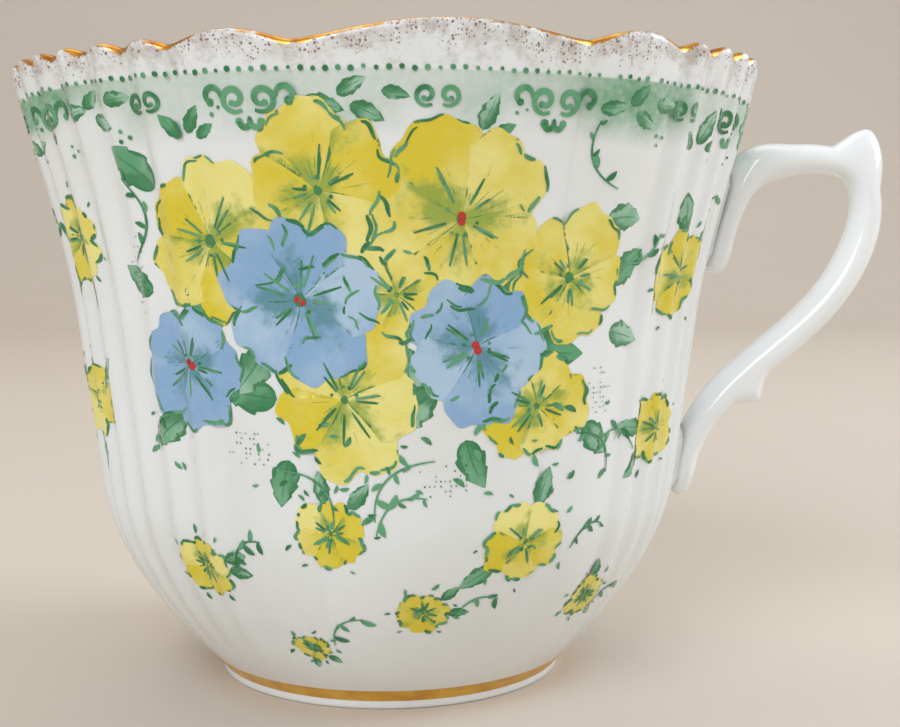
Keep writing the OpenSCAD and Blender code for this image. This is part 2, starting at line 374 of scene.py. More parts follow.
class Graph:
    """A node tree with short calls that add nodes and join them."""

    def __init__(self, tree: bpy.types.NodeTree) -> None:
        """Keeps the tree that the nodes go into."""
        self.tree = tree

    def add(self, kind: str, **settings: object) -> bpy.types.Node:
        """Adds a node and sets its properties by name.

        Args:
            kind: Type of the node.
            **settings: Its properties.

        Returns:
            The node.
        """
        node = self.tree.nodes.new(kind)
        for name, value in settings.items():
            setattr(node, name, value)
        return node

    def feed(self, socket: bpy.types.NodeSocket, value: Value) -> None:
        """Joins a socket to another node's output, or sets it to a constant.

        Args:
            socket: The input.
            value: The output or the constant.
        """
        if isinstance(value, bpy.types.NodeSocket):
            self.tree.links.new(value, socket)
        else:
            socket.default_value = value

    def math(self, operation: str, a: Value, b: Value = 0.0, clamp: bool = False) -> bpy.types.NodeSocket:
        """Puts out one sum of two values.

        Args:
            operation: Name of the sum.
            a: First value.
            b: Second value.
            clamp: Whether the result is held between 0 and 1.

        Returns:
            The result.
        """
        node = self.add("ShaderNodeMath", operation=operation, use_clamp=clamp)
        self.feed(node.inputs[0], a)
        self.feed(node.inputs[1], b)
        return node.outputs[0]

    def product(self, *values: Value) -> bpy.types.NodeSocket:
        """Multiplies several values, held between 0 and 1.

        Args:
            *values: The values.

        Returns:
            The product.
        """
        found = values[0]
        for value in values[1:]:
            found = self.math("MULTIPLY", found, value, clamp=True)
        return found

    def step(
        self, value: Value, low: float, high: float, start: float = 0.0, end: float = 1.0
    ) -> bpy.types.NodeSocket:
        """Runs smoothly from start to end as a value goes from low to high.

        Args:
            value: The value that is read.
            low: The value that gives start, which may be the higher of the two.
            high: The value that gives end.
            start: The result on low's side.
            end: The result on high's side.

        Returns:
            The result.
        """
        node = self.add("ShaderNodeMapRange", interpolation_type="SMOOTHSTEP")
        if low > high:
            low, high, start, end = high, low, end, start
        labels = ("Value", "From Min", "From Max", "To Min", "To Max")
        for label, given in zip(labels, (value, low, high, start, end)):
            self.feed(node.inputs[label], given)
        return node.outputs["Result"]

    def mix(self, share: Value, a: Value, b: Value) -> bpy.types.NodeSocket:
        """Mixes two colours by a share.

        Args:
            share: Share of the second colour.
            a: First colour.
            b: Second colour.

        Returns:
            The mixed colour.
        """
        node = self.add("ShaderNodeMix", data_type="RGBA")
        self.feed(node.inputs["Factor"], share)
        colours = [socket for socket in node.inputs if socket.type == "RGBA"]
        self.feed(colours[0], a)
        self.feed(colours[1], b)
        return next(socket for socket in node.outputs if socket.type == "RGBA")

    def place(self) -> bpy.types.NodeSocket:
        """Puts out the Object coordinates."""
        return self.add("ShaderNodeTexCoord").outputs["Object"]

    def height(self) -> bpy.types.NodeSocket:
        """Puts out the height above the table.

        Returns:
            The height, in metres.
        """
        node = self.add("ShaderNodeSeparateXYZ")
        self.feed(node.inputs[0], self.place())
        return node.outputs["Z"]

    def noise(self, scale: Value, detail: float = 2.0, roughness: float = 0.5) -> bpy.types.NodeSocket:
        """Puts out a soft noise on Object coordinates, with so many patches to the metre.

        Args:
            scale: Patches to the metre.
            detail: How many finer noises are added.
            roughness: How strong the finer ones are.

        Returns:
            The noise, about 0 to 1.
        """
        node = self.add("ShaderNodeTexNoise")
        self.feed(node.inputs["Vector"], self.place())
        self.feed(node.inputs["Scale"], scale)
        self.feed(node.inputs["Detail"], detail)
        self.feed(node.inputs["Roughness"], roughness)
        return node.outputs[0]

    def cells(self, scale: Value) -> tuple[bpy.types.NodeSocket, bpy.types.NodeSocket]:
        """Puts out the distance from each cell's middle and one random value for each cell.

        Args:
            scale: Cells to the metre.

        Returns:
            The distance, and the random value.
        """
        node = self.add("ShaderNodeTexVoronoi")
        self.feed(node.inputs["Vector"], self.place())
        self.feed(node.inputs["Scale"], scale)
        parts = self.add("ShaderNodeSeparateColor")
        self.feed(parts.inputs[0], node.outputs["Color"])
        return node.outputs["Distance"], parts.outputs[0]

    def attribute(self, name: str) -> bpy.types.NodeSocket:
        """Puts out a value that the mesh holds."""
        return self.add("ShaderNodeAttribute", attribute_name=name).outputs["Fac"]


class NodeGroup:
    """A shared effect: a shader node group with named inputs and outputs."""

    def __init__(self, name: str, inputs: dict[str, Value], outputs: dict[str, str]) -> None:
        """Makes the group's sockets.

        Args:
            name: Name of the group.
            inputs: Each input's name and first value.
            outputs: Each output's name and kind of socket.
        """
        self.tree = bpy.data.node_groups.new(name, "ShaderNodeTree")
        for label, value in inputs.items():
            kind = "NodeSocketColor" if isinstance(value, tuple) else "NodeSocketFloat"
            socket = self.tree.interface.new_socket(label, in_out="INPUT", socket_type=kind)
            socket.default_value = value
        for label, kind in outputs.items():
            self.tree.interface.new_socket(label, in_out="OUTPUT", socket_type=kind)
        self.graph = Graph(self.tree)
        self.given = self.graph.add("NodeGroupInput").outputs
        self.result = self.graph.add("NodeGroupOutput").inputs

    def put(self, label: str, value: bpy.types.NodeSocket) -> None:
        """Joins a value to one of the group's outputs."""
        self.tree.links.new(value, self.result[label])

    def place_in(self, graph: Graph, **values: Value) -> bpy.types.bpy_prop_collection:
        """Places the group in a material.

        Args:
            graph: The material's nodes.
            **values: Values of the inputs, with spaces in their names written as underscores.

        Returns:
            The outputs of the placed group.
        """
        node = graph.add("ShaderNodeGroup", node_tree=self.tree)
        for label, value in values.items():
            graph.feed(node.inputs[label.replace("_", " ")], value)
        return node.outputs


def uneven_glaze_group() -> NodeGroup:
    """Makes the slow unevenness of a fired glaze: its tint, its gloss and its orange-peel surface.

    Returns:
        The group.
    """
    group = NodeGroup(
        "uneven_glaze",
        {"Gloss": 0.1, "Gloss Spread": 0.06},
        {"Tint": "NodeSocketFloat", "Roughness": "NodeSocketFloat", "Height": "NodeSocketFloat"},
    )
    graph = group.graph
    fine_share = 0.25
    slow = graph.noise(scale=45.0, detail=3.0)
    fine = graph.noise(scale=700.0, detail=1.0)
    group.put("Tint", graph.step(slow, low=0.3, high=0.7))
    spread = graph.math("MULTIPLY", graph.noise(scale=160.0, detail=3.0), group.given["Gloss Spread"])
    group.put("Roughness", graph.math("ADD", spread, group.given["Gloss"]))
    group.put("Height", graph.math("ADD", graph.math("MULTIPLY", fine, fine_share), slow))
    return group


def rubbed_and_shaded_rim_group() -> NodeGroup:
    """Makes the marks on the glaze round a rim: brown smears, partly left by rubbed gilding and partly
    painted shade that darkens towards the rim, and crowded specks of rubbed gilding.

    Returns:
        The group.
    """
    group = NodeGroup(
        "rubbed_and_shaded_rim",
        {
            "Ground": paint(238, 241, 242),
            "Speck": paint(128, 88, 76),
            "Smear And Shade": paint(172, 152, 138),
            "Near Rim": 1.0,
        },
        {"Colour": "NodeSocketColor"},
    )
    graph = group.graph
    given = group.given
    smear_and_shade_at_rim = 0.2
    specks_at_rim = 0.72
    crowding = 1.6
    uncrowded = 0.42
    raggedness = 0.5
    speck_strength = 0.9
    speck_scales = (2500.0, 4300.0)

    # Painted shade: the smears grow towards the rim and darken the band under the lip; the rest of them are
    # smudges of rubbed gilding.
    near = graph.math("MULTIPLY", given["Near Rim"], smear_and_shade_at_rim)
    cloud = graph.math("ADD", graph.noise(scale=430.0, detail=5.0, roughness=0.75), near)
    smeared_and_shaded = graph.step(cloud, low=0.54, high=0.88, start=0.0, end=0.7)
    colour = graph.mix(smeared_and_shaded, given["Ground"], given["Smear And Shade"])
    ragged = graph.math("MULTIPLY", graph.noise(scale=5200.0, detail=2.0), raggedness)
    crowd = graph.math("MULTIPLY", graph.noise(scale=300.0, detail=3.0), crowding)
    crowd = graph.math("ADD", crowd, graph.math("MULTIPLY", given["Near Rim"], specks_at_rim))
    crowd = graph.math("SUBTRACT", crowd, uncrowded)
    for scale in speck_scales:
        distance, chance = graph.cells(scale)
        spot = graph.step(graph.math("ADD", distance, ragged), low=0.72, high=0.48)
        chosen = graph.step(graph.math("ADD", chance, crowd), low=1.74, high=1.86)
        colour = graph.mix(graph.product(spot, chosen, speck_strength), colour, given["Speck"])
    group.put("Colour", colour)
    return group


def brushed_enamel_group() -> NodeGroup:
    """Makes a petal or leaf as a printer and a brush leave it: wash, shade, hatching and blots at its edge.

    It reads what each shape holds: along from its foot to its tip, across from side to side, edge as
    the way to its outline in millimetres, and tint, one value for each shape.

    Returns:
        The group.
    """
    group = NodeGroup(
        "brushed_enamel",
        {
            "Body": paint(220, 200, 40),
            "Pale": paint(240, 228, 140),
            "Shade": paint(110, 150, 50),
            "Line": paint(30, 105, 60),
            "Hatch": 9.0,
            "Outline": 0.3,
            "Vein": 0.0,
            "Shade Reach": 0.45,
        },
        {"Colour": "NodeSocketColor", "Roughness": "NodeSocketFloat", "Height": "NodeSocketFloat"},
    )
    graph = group.graph
    given = group.given
    pool_share, mottle_share, tint_share = 1.2, 0.6, 0.5
    foot_shade, edge_shade = 0.55, 0.12
    stroke_wander, stroke_strength = 2.4, 0.7
    foot_blots = 0.25
    grain_height = 0.3

    along, across = graph.attribute("along"), graph.attribute("across")
    edge, tint = graph.attribute("edge"), graph.attribute("tint")
    pool = graph.noise(scale=150.0, detail=3.0)
    mottle = graph.noise(scale=420.0, detail=4.0, roughness=0.6)
    grain = graph.noise(scale=1600.0, detail=2.0)
    foot = graph.math("SUBTRACT", given["Shade Reach"], along)
    near_edge = graph.step(edge, low=1.1, high=0.1)

    pools = graph.math("MULTIPLY", pool, pool_share)
    washes = graph.math("ADD", pools, graph.math("MULTIPLY", mottle, mottle_share))
    washes = graph.math("ADD", washes, graph.math("MULTIPLY", tint, tint_share))
    pale_share = graph.step(washes, low=0.85, high=1.5)
    colour = graph.mix(pale_share, given["Body"], given["Pale"])

    side = graph.math("MULTIPLY", across, graph.step(tint, low=0.35, high=0.65, start=-0.22, end=0.22))
    lean = graph.math("ADD", side, graph.math("MULTIPLY", foot, foot_shade))
    shaded = graph.math("ADD", mottle, lean)
    shaded = graph.math("ADD", shaded, graph.math("MULTIPLY", near_edge, edge_shade))
    colour = graph.mix(graph.step(shaded, low=0.47, high=0.76, start=0.0, end=0.88), colour, given["Shade"])

    turns = graph.math("MULTIPLY", across, given["Hatch"])
    wander = graph.math("MULTIPLY", graph.noise(scale=300.0), stroke_wander)
    wander = graph.math("ADD", turns, wander)
    strokes = graph.step(graph.math("SINE", graph.math("MULTIPLY", wander, math.pi)), low=0.74, high=0.97)
    reach = graph.product(graph.step(along, low=0.04, high=0.14), graph.step(along, low=0.7, high=0.25))
    broken = graph.step(graph.noise(scale=800.0, detail=2.0), low=0.5, high=0.62)
    hatch = graph.product(strokes, reach, broken, stroke_strength)
    edges = graph.math("MULTIPLY", near_edge, given["Outline"])
    at_foot = graph.math("MULTIPLY", foot, foot_blots)
    blots = graph.math("ADD", graph.noise(scale=620.0, detail=3.0, roughness=0.6), at_foot)
    blot = graph.step(graph.math("ADD", blots, edges), low=0.75, high=0.85, start=0.0, end=0.9)
    middle = graph.step(graph.math("ABSOLUTE", across), low=0.09, high=0.04)
    vein = graph.product(middle, graph.step(along, low=0.9, high=0.7), given["Vein"])
    lines = graph.math("MAXIMUM", vein, graph.math("MAXIMUM", hatch, blot))
    colour = graph.mix(lines, colour, given["Line"])

    group.put("Colour", colour)
    group.put("Roughness", graph.step(grain, low=0.2, high=0.8, start=0.14, end=0.3))
    group.put("Height", graph.math("ADD", graph.math("MULTIPLY", grain, grain_height), pool))
    return group


class Surface(Graph):
    """The nodes of one material, which end in its Principled shader."""

    def __init__(self, material: bpy.types.Material) -> None:
        """Finds the material's shader."""
        super().__init__(material.node_tree)
        self.shader = self.tree.nodes["Principled BSDF"]

    def give(self, label: str, value: Value) -> None:
        """Joins a value to one of the shader's inputs, or sets it there."""
        self.feed(self.shader.inputs[label], value)

    def bump(self, height: Value, depth: float) -> None:
        """Joins a height to the shader's normal, with its depth in metres.

        Args:
            height: The height.
            depth: How deep a height of 1 is.
        """
        node = self.add("ShaderNodeBump")
        self.feed(node.inputs["Distance"], depth)
        self.feed(node.inputs["Height"], height)
        self.give("Normal", node.outputs["Normal"])


class Finish:
    """Base of the finishes: a material with one Principled shader."""

    name: str

    def material(self) -> bpy.types.Material:
        """Makes the material.

        Returns:
            The material, with its nodes joined.
        """
        made = bpy.data.materials.new(self.name)
        made.use_nodes = True
        self.paint_on(Surface(made))
        return made

    def paint_on(self, graph: Surface) -> None:
        """Joins the finish's nodes to the shader."""
        raise NotImplementedError


@dataclass(frozen=True)
class Glaze(Finish):
    """Clear glaze over white porcelain, with a slow change of tint."""

    group: NodeGroup
    name: str = "plain_glaze"
    white: Colour = paint(238, 241, 242)
    shade: Colour = paint(230, 232, 230)
    gloss: float = 0.07
    coat: float = 0.35
    coat_roughness: float = 0.04
    peel: float = 0.05 * MM

    def ground(self, graph: Surface) -> bpy.types.NodeSocket:
        """Joins gloss and unevenness, and puts out the glaze's own colour.

        Args:
            graph: The material's nodes.

        Returns:
            The colour.
        """
        uneven = self.group.place_in(graph, Gloss=self.gloss)
        graph.give("Roughness", uneven["Roughness"])
        graph.give("Coat Weight", self.coat)
        graph.give("Coat Roughness", self.coat_roughness)
        graph.bump(uneven["Height"], self.peel)
        return graph.mix(uneven["Tint"], self.white, self.shade)

    def paint_on(self, graph: Surface) -> None:
        """Joins the plain glaze to the shader."""
        graph.give("Base Color", self.ground(graph))


@dataclass(frozen=True)
class BorderedGlaze(Glaze):
    """Glaze with the soft green border under the rim and, above it, the brown specks of worn gilding and
    smears that are partly painted shade.
    """

    name: str = "bordered_glaze"
    wash_drop: float = 5.2 * MM
    wash: Colour = paint(104, 164, 122)
    wash_ragged: float = 1.6 * MM
    wash_run: float = 0.7
    line_z: float = field(kw_only=True)
    rubbed: NodeGroup = field(kw_only=True)

    def paint_on(self, graph: Surface) -> None:
        """Joins glaze, border wash and specks to the shader.

        Args:
            graph: The material's nodes.
        """
        colour = self.ground(graph)
        z = graph.height()
        outside = graph.attribute("outside")

        patches = graph.step(graph.noise(scale=70.0, detail=3.0), low=0.34, high=0.66, start=-0.8, end=1.0)
        reach = graph.math("MULTIPLY", patches, self.wash_ragged)
        low = graph.math("SUBTRACT", z, self.line_z - self.wash_drop)
        fade = graph.step(graph.math("ADD", low, reach), low=-0.2 * MM, high=self.wash_run * self.wash_drop)
        under_line = graph.step(z, low=self.line_z + 0.05 * MM, high=self.line_z - 0.25 * MM)
        grain = graph.step(graph.noise(scale=1300.0, detail=2.0), low=0.2, high=0.7, start=0.7, end=1.0)
        strength = graph.step(graph.noise(scale=40.0, detail=2.0), low=0.38, high=0.6, start=0.3, end=1.0)
        colour = graph.mix(graph.product(fade, under_line, grain, strength, outside), colour, self.wash)

        # Above the line go the specks of worn gilding and the smears, which carry painted shade near the rim.
        above_line = graph.step(z, low=self.line_z - 0.2 * MM, high=self.line_z + 0.4 * MM)
        rubbed = self.rubbed.place_in(graph, Ground=colour, Near_Rim=graph.attribute("near_rim"))
        colour = graph.mix(graph.product(above_line, outside), colour, rubbed["Colour"])
        graph.give("Base Color", colour)


@dataclass(frozen=True)
class Gilding(Finish):
    """Thin fired gold, rubbed through to the glaze on the crests and in small specks."""

    group: NodeGroup
    rubbed: NodeGroup
    name: str = "worn_gilding"
    gold: Colour = paint(222, 170, 70)
    deep: Colour = paint(172, 106, 36)
    glaze: Colour = paint(234, 237, 237)
    metal: float = 1.0
    gloss: float = 0.2
    gloss_spread: float = 0.2
    patchy: float = 0.9
    peel: float = 0.03 * MM

    def paint_on(self, graph: Surface) -> None:
        """Joins gold and its wear to the shader.

        Args:
            graph: The material's nodes.
        """
        uneven = self.group.place_in(graph, Gloss=self.gloss, Gloss_Spread=self.gloss_spread)
        tone = graph.step(graph.noise(scale=380.0, detail=3.0), low=0.3, high=0.7)
        gold = graph.mix(tone, self.gold, self.deep)
        patch = graph.math("MULTIPLY", graph.noise(scale=800.0, detail=4.0, roughness=0.65), self.patchy)
        rub = graph.math("ADD", graph.attribute("wear"), patch)
        bare = graph.step(rub, low=0.72, high=0.9)
        # The bare glaze takes the same specks, and the smears with their painted shade near the rim.
        glaze = self.rubbed.place_in(graph, Ground=self.glaze, Near_Rim=graph.attribute("near_rim"))
        graph.give("Base Color", graph.mix(bare, gold, glaze["Colour"]))
        kept = graph.math("SUBTRACT", 1.0, bare)
        graph.give("Metallic", graph.math("MULTIPLY", kept, self.metal))
        graph.give("Roughness", uneven["Roughness"])
        graph.bump(uneven["Height"], self.peel)


@dataclass(frozen=True)
class Enamel(Finish):
    """Enamel brushed over a printed outline."""

    group: NodeGroup
    name: str
    body: Colour
    pale: Colour
    shade: Colour
    line: Colour = paint(44, 124, 74)
    hatch: float = 6.0
    outline: float = 0.3
    vein: float = 0.0
    shade_reach: float = 0.45
    coat: float = 0.2
    peel: float = 0.02 * MM

    def paint_on(self, graph: Surface) -> None:
        """Joins the brushed enamel to the shader.

        Args:
            graph: The material's nodes.
        """
        brushed = self.group.place_in(
            graph,
            Body=self.body,
            Pale=self.pale,
            Shade=self.shade,
            Line=self.line,
            Hatch=self.hatch,
            Outline=self.outline,
            Vein=self.vein,
            Shade_Reach=self.shade_reach,
        )
        graph.give("Base Color", brushed["Colour"])
        graph.give("Roughness", brushed["Roughness"])
        graph.give("Coat Weight", self.coat)
        graph.bump(brushed["Height"], self.peel)


@dataclass(frozen=True)
class Ink(Finish):
    """Printed or dotted colour of one tone, thicker and thinner along its strokes."""

    name: str
    full: Colour
    thin: Colour
    tint_share: float = 0.5

    def paint_on(self, graph: Surface) -> None:
        """Joins the ink to the shader.

        Args:
            graph: The material's nodes.
        """
        tint = graph.math("MULTIPLY", graph.attribute("tint"), self.tint_share)
        wear = graph.math("ADD", graph.noise(scale=700.0, detail=3.0), tint)
        worn = graph.step(wear, low=0.5, high=1.0)
        gloss = graph.step(graph.noise(scale=1500.0), low=0.3, high=0.7, start=0.15, end=0.3)
        graph.give("Base Color", graph.mix(worn, self.full, self.thin))
        graph.give("Roughness", gloss)


@dataclass(frozen=True)
class Backdrop(Finish):
    """Plain pale ground that the cup stands on, with a faint unevenness."""

    name: str = "pale_ground"
    light: Colour = paint(216, 205, 191)
    dark: Colour = paint(211, 200, 186)
    roughness: float = 0.7

    def paint_on(self, graph: Surface) -> None:
        """Joins the ground's colour to the shader.

        Args:
            graph: The material's nodes.
        """
        patches = graph.noise(scale=6.0, detail=3.0)
        graph.give("Base Color", graph.mix(patches, self.light, self.dark))
        graph.give("Roughness", self.roughness)


def spin_round(mesh: bmesh.types.BMesh, outline: Iterable[Point], steps: int, closed: bool) -> None:
    """Turns an outline round the cup's axis into a closed or capped surface.

    Args:
        mesh: The mesh to build in, empty before.
        outline: Radius and height of each point.
        steps: Columns of faces round the axis.
        closed: Whether the last point joins the first.
    """
    verts = [mesh.verts.new((r, 0.0, z)) for r, z in outline]
    pairs = list(zip(verts, verts[1:]))
    if closed:
        pairs.append((verts[-1], verts[0]))
    edges = [mesh.edges.new(pair) for pair in pairs]
    bmesh.ops.spin(
        mesh,
        geom=verts + edges,
        cent=(0, 0, 0),
        axis=(0, 0, 1),
        dvec=(0, 0, 0),
        angle=math.tau,
        space=Matrix.Identity(4),
        steps=steps,
        use_merge=True,
        use_normal_flip=False,
        use_duplicate=False,
    )
    bmesh.ops.remove_doubles(mesh, verts=mesh.verts, dist=MERGE_GAP)
    bmesh.ops.recalc_face_normals(mesh, faces=mesh.faces)


def round_edges(mesh: bmesh.types.BMesh, edges: list[bmesh.types.BMEdge], offset: float, rows: int) -> None:
    """Rounds some edges of a mesh with rows of faces."""
    bmesh.ops.bevel(mesh, geom=edges, offset=offset, segments=rows, profile=0.5, affect="EDGES", material=-1)


def hold_values(mesh: bmesh.types.BMesh, *names: str) -> dict[str, bmesh.types.BMLayerItem]:
    """Lets a mesh's vertices hold values that its finish reads.

    Args:
        mesh: The mesh.
        *names: Names of the values.

    Returns:
        The handle of each value, by its name.
    """
    for name in names:
        mesh.verts.layers.float.new(name)
    return {name: mesh.verts.layers.float[name] for name in names}


def put_in_scene(name: str, data: bpy.types.ID) -> bpy.types.Object:
    """Makes an object of a mesh, a lamp or a camera and puts it in the scene.

    Args:
        name: Name of the object.
        data: What it is made of.

    Returns:
        The object.
    """
    made = bpy.data.objects.new(name, data)
    bpy.context.scene.collection.objects.link(made)
    return made


def to_object(name: str, mesh: bmesh.types.BMesh, material: bpy.types.Material) -> bpy.types.Object:
    """Turns a finished mesh into an object that is smooth but for its sharp edges.

    Args:
        name: Name of the object.
        mesh: Its mesh, which is freed.
        material: Its finish.

    Returns:
        The object.
    """
    for edge in mesh.edges:
        edge.smooth = edge.calc_face_angle(0.0) < SHARP
    data = bpy.data.meshes.new(name)
    mesh.to_mesh(data)
    mesh.free()
    data.polygons.foreach_set("use_smooth", [True] * len(data.polygons))
    data.materials.append(material)
    return put_in_scene(name, data)


def to_piece(name: str, mesh: bmesh.types.BMesh, material: bpy.types.Material) -> bpy.types.Object:
    """Turns a finished mesh into a piece that rides on the body.

    Args:
        name: Name of the piece.
        mesh: Its mesh, which is freed.
        material: Its finish.

    Returns:
        The piece.
    """
    made = to_object(name, mesh, material)
    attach(made, BODY)
    return made


@dataclass
class CupBody:
    """The bowl: underside, fluted wall, round lip and inside, in one turned and fluted mesh."""

    wall: FlutedWall
    steps: int = 720
    outer_rows: int = 56
    lip_rows: int = 10
    inner_rows: int = 30
    floor_rows: int = 7
    floor_bend: float = 2.0 * MM
    floor_flat: float = 8.0 * MM
    foot_edge: float = 0.25 * MM
    outer_crowd: float = 1.15
    inner_crowd: float = 1.2

    def outline(self) -> list[Point]:
        """Works out the half-section from the axis under the bowl to the axis on the floor.

        Returns:
            Radius and height of each point.
        """
        wall = self.wall
        points = [(0.0, wall.base_z), (wall.base_r / 2, wall.base_z)]
        points.append((wall.outer_r(wall.base_z) - self.foot_edge, wall.base_z))
        low = wall.base_z + self.foot_edge
        lip = wall.lip_arc(self.lip_rows)
        for row in range(self.outer_rows):
            z = low + (lip[0][1] - low) * (row / self.outer_rows) ** self.outer_crowd
            points.append((wall.outer_r(z), z))
        points += lip
        bend_z = wall.floor_z + self.floor_bend
        for row in range(1, self.inner_rows + 1):
            down = 1 - (1 - row / self.inner_rows) ** self.inner_crowd
            z = lip[-1][1] + (bend_z - lip[-1][1]) * down
            points.append((wall.inner_r(z), z))
        bend = bezier(points[-1], (wall.floor_r, wall.floor_z), (self.floor_flat, wall.floor_z))
        points += [bend(row / self.floor_rows) for row in range(1, self.floor_rows + 1)]
        return points + [(0.0, wall.floor_z)]

    def build(self, finish: bpy.types.Material) -> bpy.types.Object:
        """Builds the bowl and stands it in for its solid.

        Args:
            finish: Its material.

        Returns:
            The piece.
        """
        mesh = bmesh.new()
        spin_round(mesh, self.outline(), self.steps, closed=False)
        held = hold_values(mesh, "outside", "near_rim")
        for vert in mesh.verts:
            r = math.hypot(vert.co.x, vert.co.y)
            vert[held["outside"]] = float(self.wall.is_outside(r, vert.co.z))
            vert[held["near_rim"]] = self.wall.near_rim(vert.co.z)
            vert.co = self.wall.fluted(vert.co)[0]
        piece = to_piece("glazed_cup_body", mesh, finish)
        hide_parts("cup_body")
        return piece


@dataclass
class Foot:
    """The low foot ring with soft edges, and the slip that joins it to the bowl."""

    steps: int = 240
    width: float = 3.0 * MM
    rounding: float = 0.42 * MM
    rounding_rows: int = 5
    corner_deg: float = 45.0

    def build(self, finish: bpy.types.Material) -> bpy.types.Object:
        """Builds the ring from its solid's box, rounds its edges and stands it in for the solid.

        Args:
            finish: Its material.

        Returns:
            The piece.
        """
        low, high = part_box("foot_ring")
        outline = [
            (high.x - self.width, low.z),
            (high.x, low.z),
            (high.x, high.z),
            (high.x - self.width, high.z),
        ]
        mesh = bmesh.new()
        spin_round(mesh, outline, self.steps, closed=True)
        corner = math.radians(self.corner_deg)
        sharp = [edge for edge in mesh.edges if edge.calc_face_angle(0.0) > corner]
        round_edges(mesh, sharp, self.rounding, self.rounding_rows)
        piece = to_piece("glazed_foot_ring", mesh, finish)
        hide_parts("foot_ring")
        return piece

    def dress(self, finish: bpy.types.Material) -> bpy.types.Object:
        """Gives the slip joint's own solid its finish.

        Args:
            finish: Its material.

        Returns:
            The solid.
        """
        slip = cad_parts["foot_slip_joint"]
        slip.data.materials.clear()
        slip.data.materials.append(finish)
        return slip


@dataclass
class GiltLines:
    """The gilt line over the lip and the one just above the foot."""

    wall: FlutedWall
    rim_width: float = 0.8 * MM
    foot_more: float = 0.25 * MM
    foot_drop: float = 0.32 * MM
    collar_rows: int = 6
    collar: float = 0.16 * MM
    collar_proud: float = 0.05 * MM
    sunk: float = 0.02 * MM
    proud: float = 0.012 * MM
    side_wear: float = 0.95
    crest_wear: float = 0.34
    steps: int = 720
    lip_rows: int = 10

    def rim_outline(self, skin: float) -> list[Point]:
        """Works out a line over the lip, stood off by a skin, from the outside to the inside.

        Args:
            skin: How far the line stands off the glaze.

        Returns:
            Radius and height of each point.
        """
        wall = self.wall
        low = wall.lip_z - self.rim_width
        arc = wall.lip_arc(self.lip_rows, skin)
        return [(wall.outer_r(low) + skin, low), *arc, (wall.inner_r(low) - skin, low)]

    def mark_wear(self, mesh: bmesh.types.BMesh, low: float, high: float) -> None:
        """Flutes the line and marks how far each place is rubbed, most on crests and down its sides.

        Args:
            mesh: The plain turned line.
            low: Height of its lower edge.
            high: Height of its top.
        """
        held = hold_values(mesh, "wear", "near_rim")
        for vert in mesh.verts:
            down = limit((high - vert.co.z) / (high - low))
            vert[held["near_rim"]] = self.wall.near_rim(vert.co.z)
            vert.co, out = self.wall.fluted(vert.co)
            vert[held["wear"]] = limit(self.side_wear * down + self.crest_wear * out * out)

    def build_rim(self, finish: bpy.types.Material) -> bpy.types.Object:
        """Builds the gilt line over the lip.

        Args:
            finish: Its material.

        Returns:
            The piece.
        """
        mesh = bmesh.new()
        outline = self.rim_outline(self.proud) + self.rim_outline(-self.sunk)[::-1]
        spin_round(mesh, outline, self.steps, closed=True)
        self.mark_wear(mesh, self.wall.lip_z - self.rim_width, self.wall.height)
        piece = to_piece("worn_rim_gilding", mesh, finish)
        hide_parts("rim_gilding")
        return piece

    def build_foot(self, finish: bpy.types.Material) -> bpy.types.Object:
        """Builds the gilt line above the foot: over its solid's height and down to the ring.

        Args:
            finish: Its material.

        Returns:
            The piece.
        """
        wall = self.wall
        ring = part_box("foot_ring")[1]
        low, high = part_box("foot_gilding")
        proud = self.collar_proud
        start = (ring.x + proud, ring.z - self.foot_drop)
        bend = (wall.outer_r(wall.base_z), wall.base_z)
        join = (wall.outer_r((low.z + high.z) / 2) + proud, (low.z + high.z) / 2)
        curve = bezier(start, bend, join)
        outside = [curve(row / self.collar_rows) for row in range(self.collar_rows + 1)]
        outside += [(wall.outer_r(z) + proud, z) for z in (high.z, high.z + self.foot_more)]
        inside = [(r - self.collar, z) for r, z in reversed(outside)]
        mesh = bmesh.new()
        spin_round(mesh, outside + inside, self.steps // 2, closed=True)
        hold_values(mesh, "wear")
        piece = to_piece("worn_foot_gilding", mesh, finish)
        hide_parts("foot_gilding")
        return piece


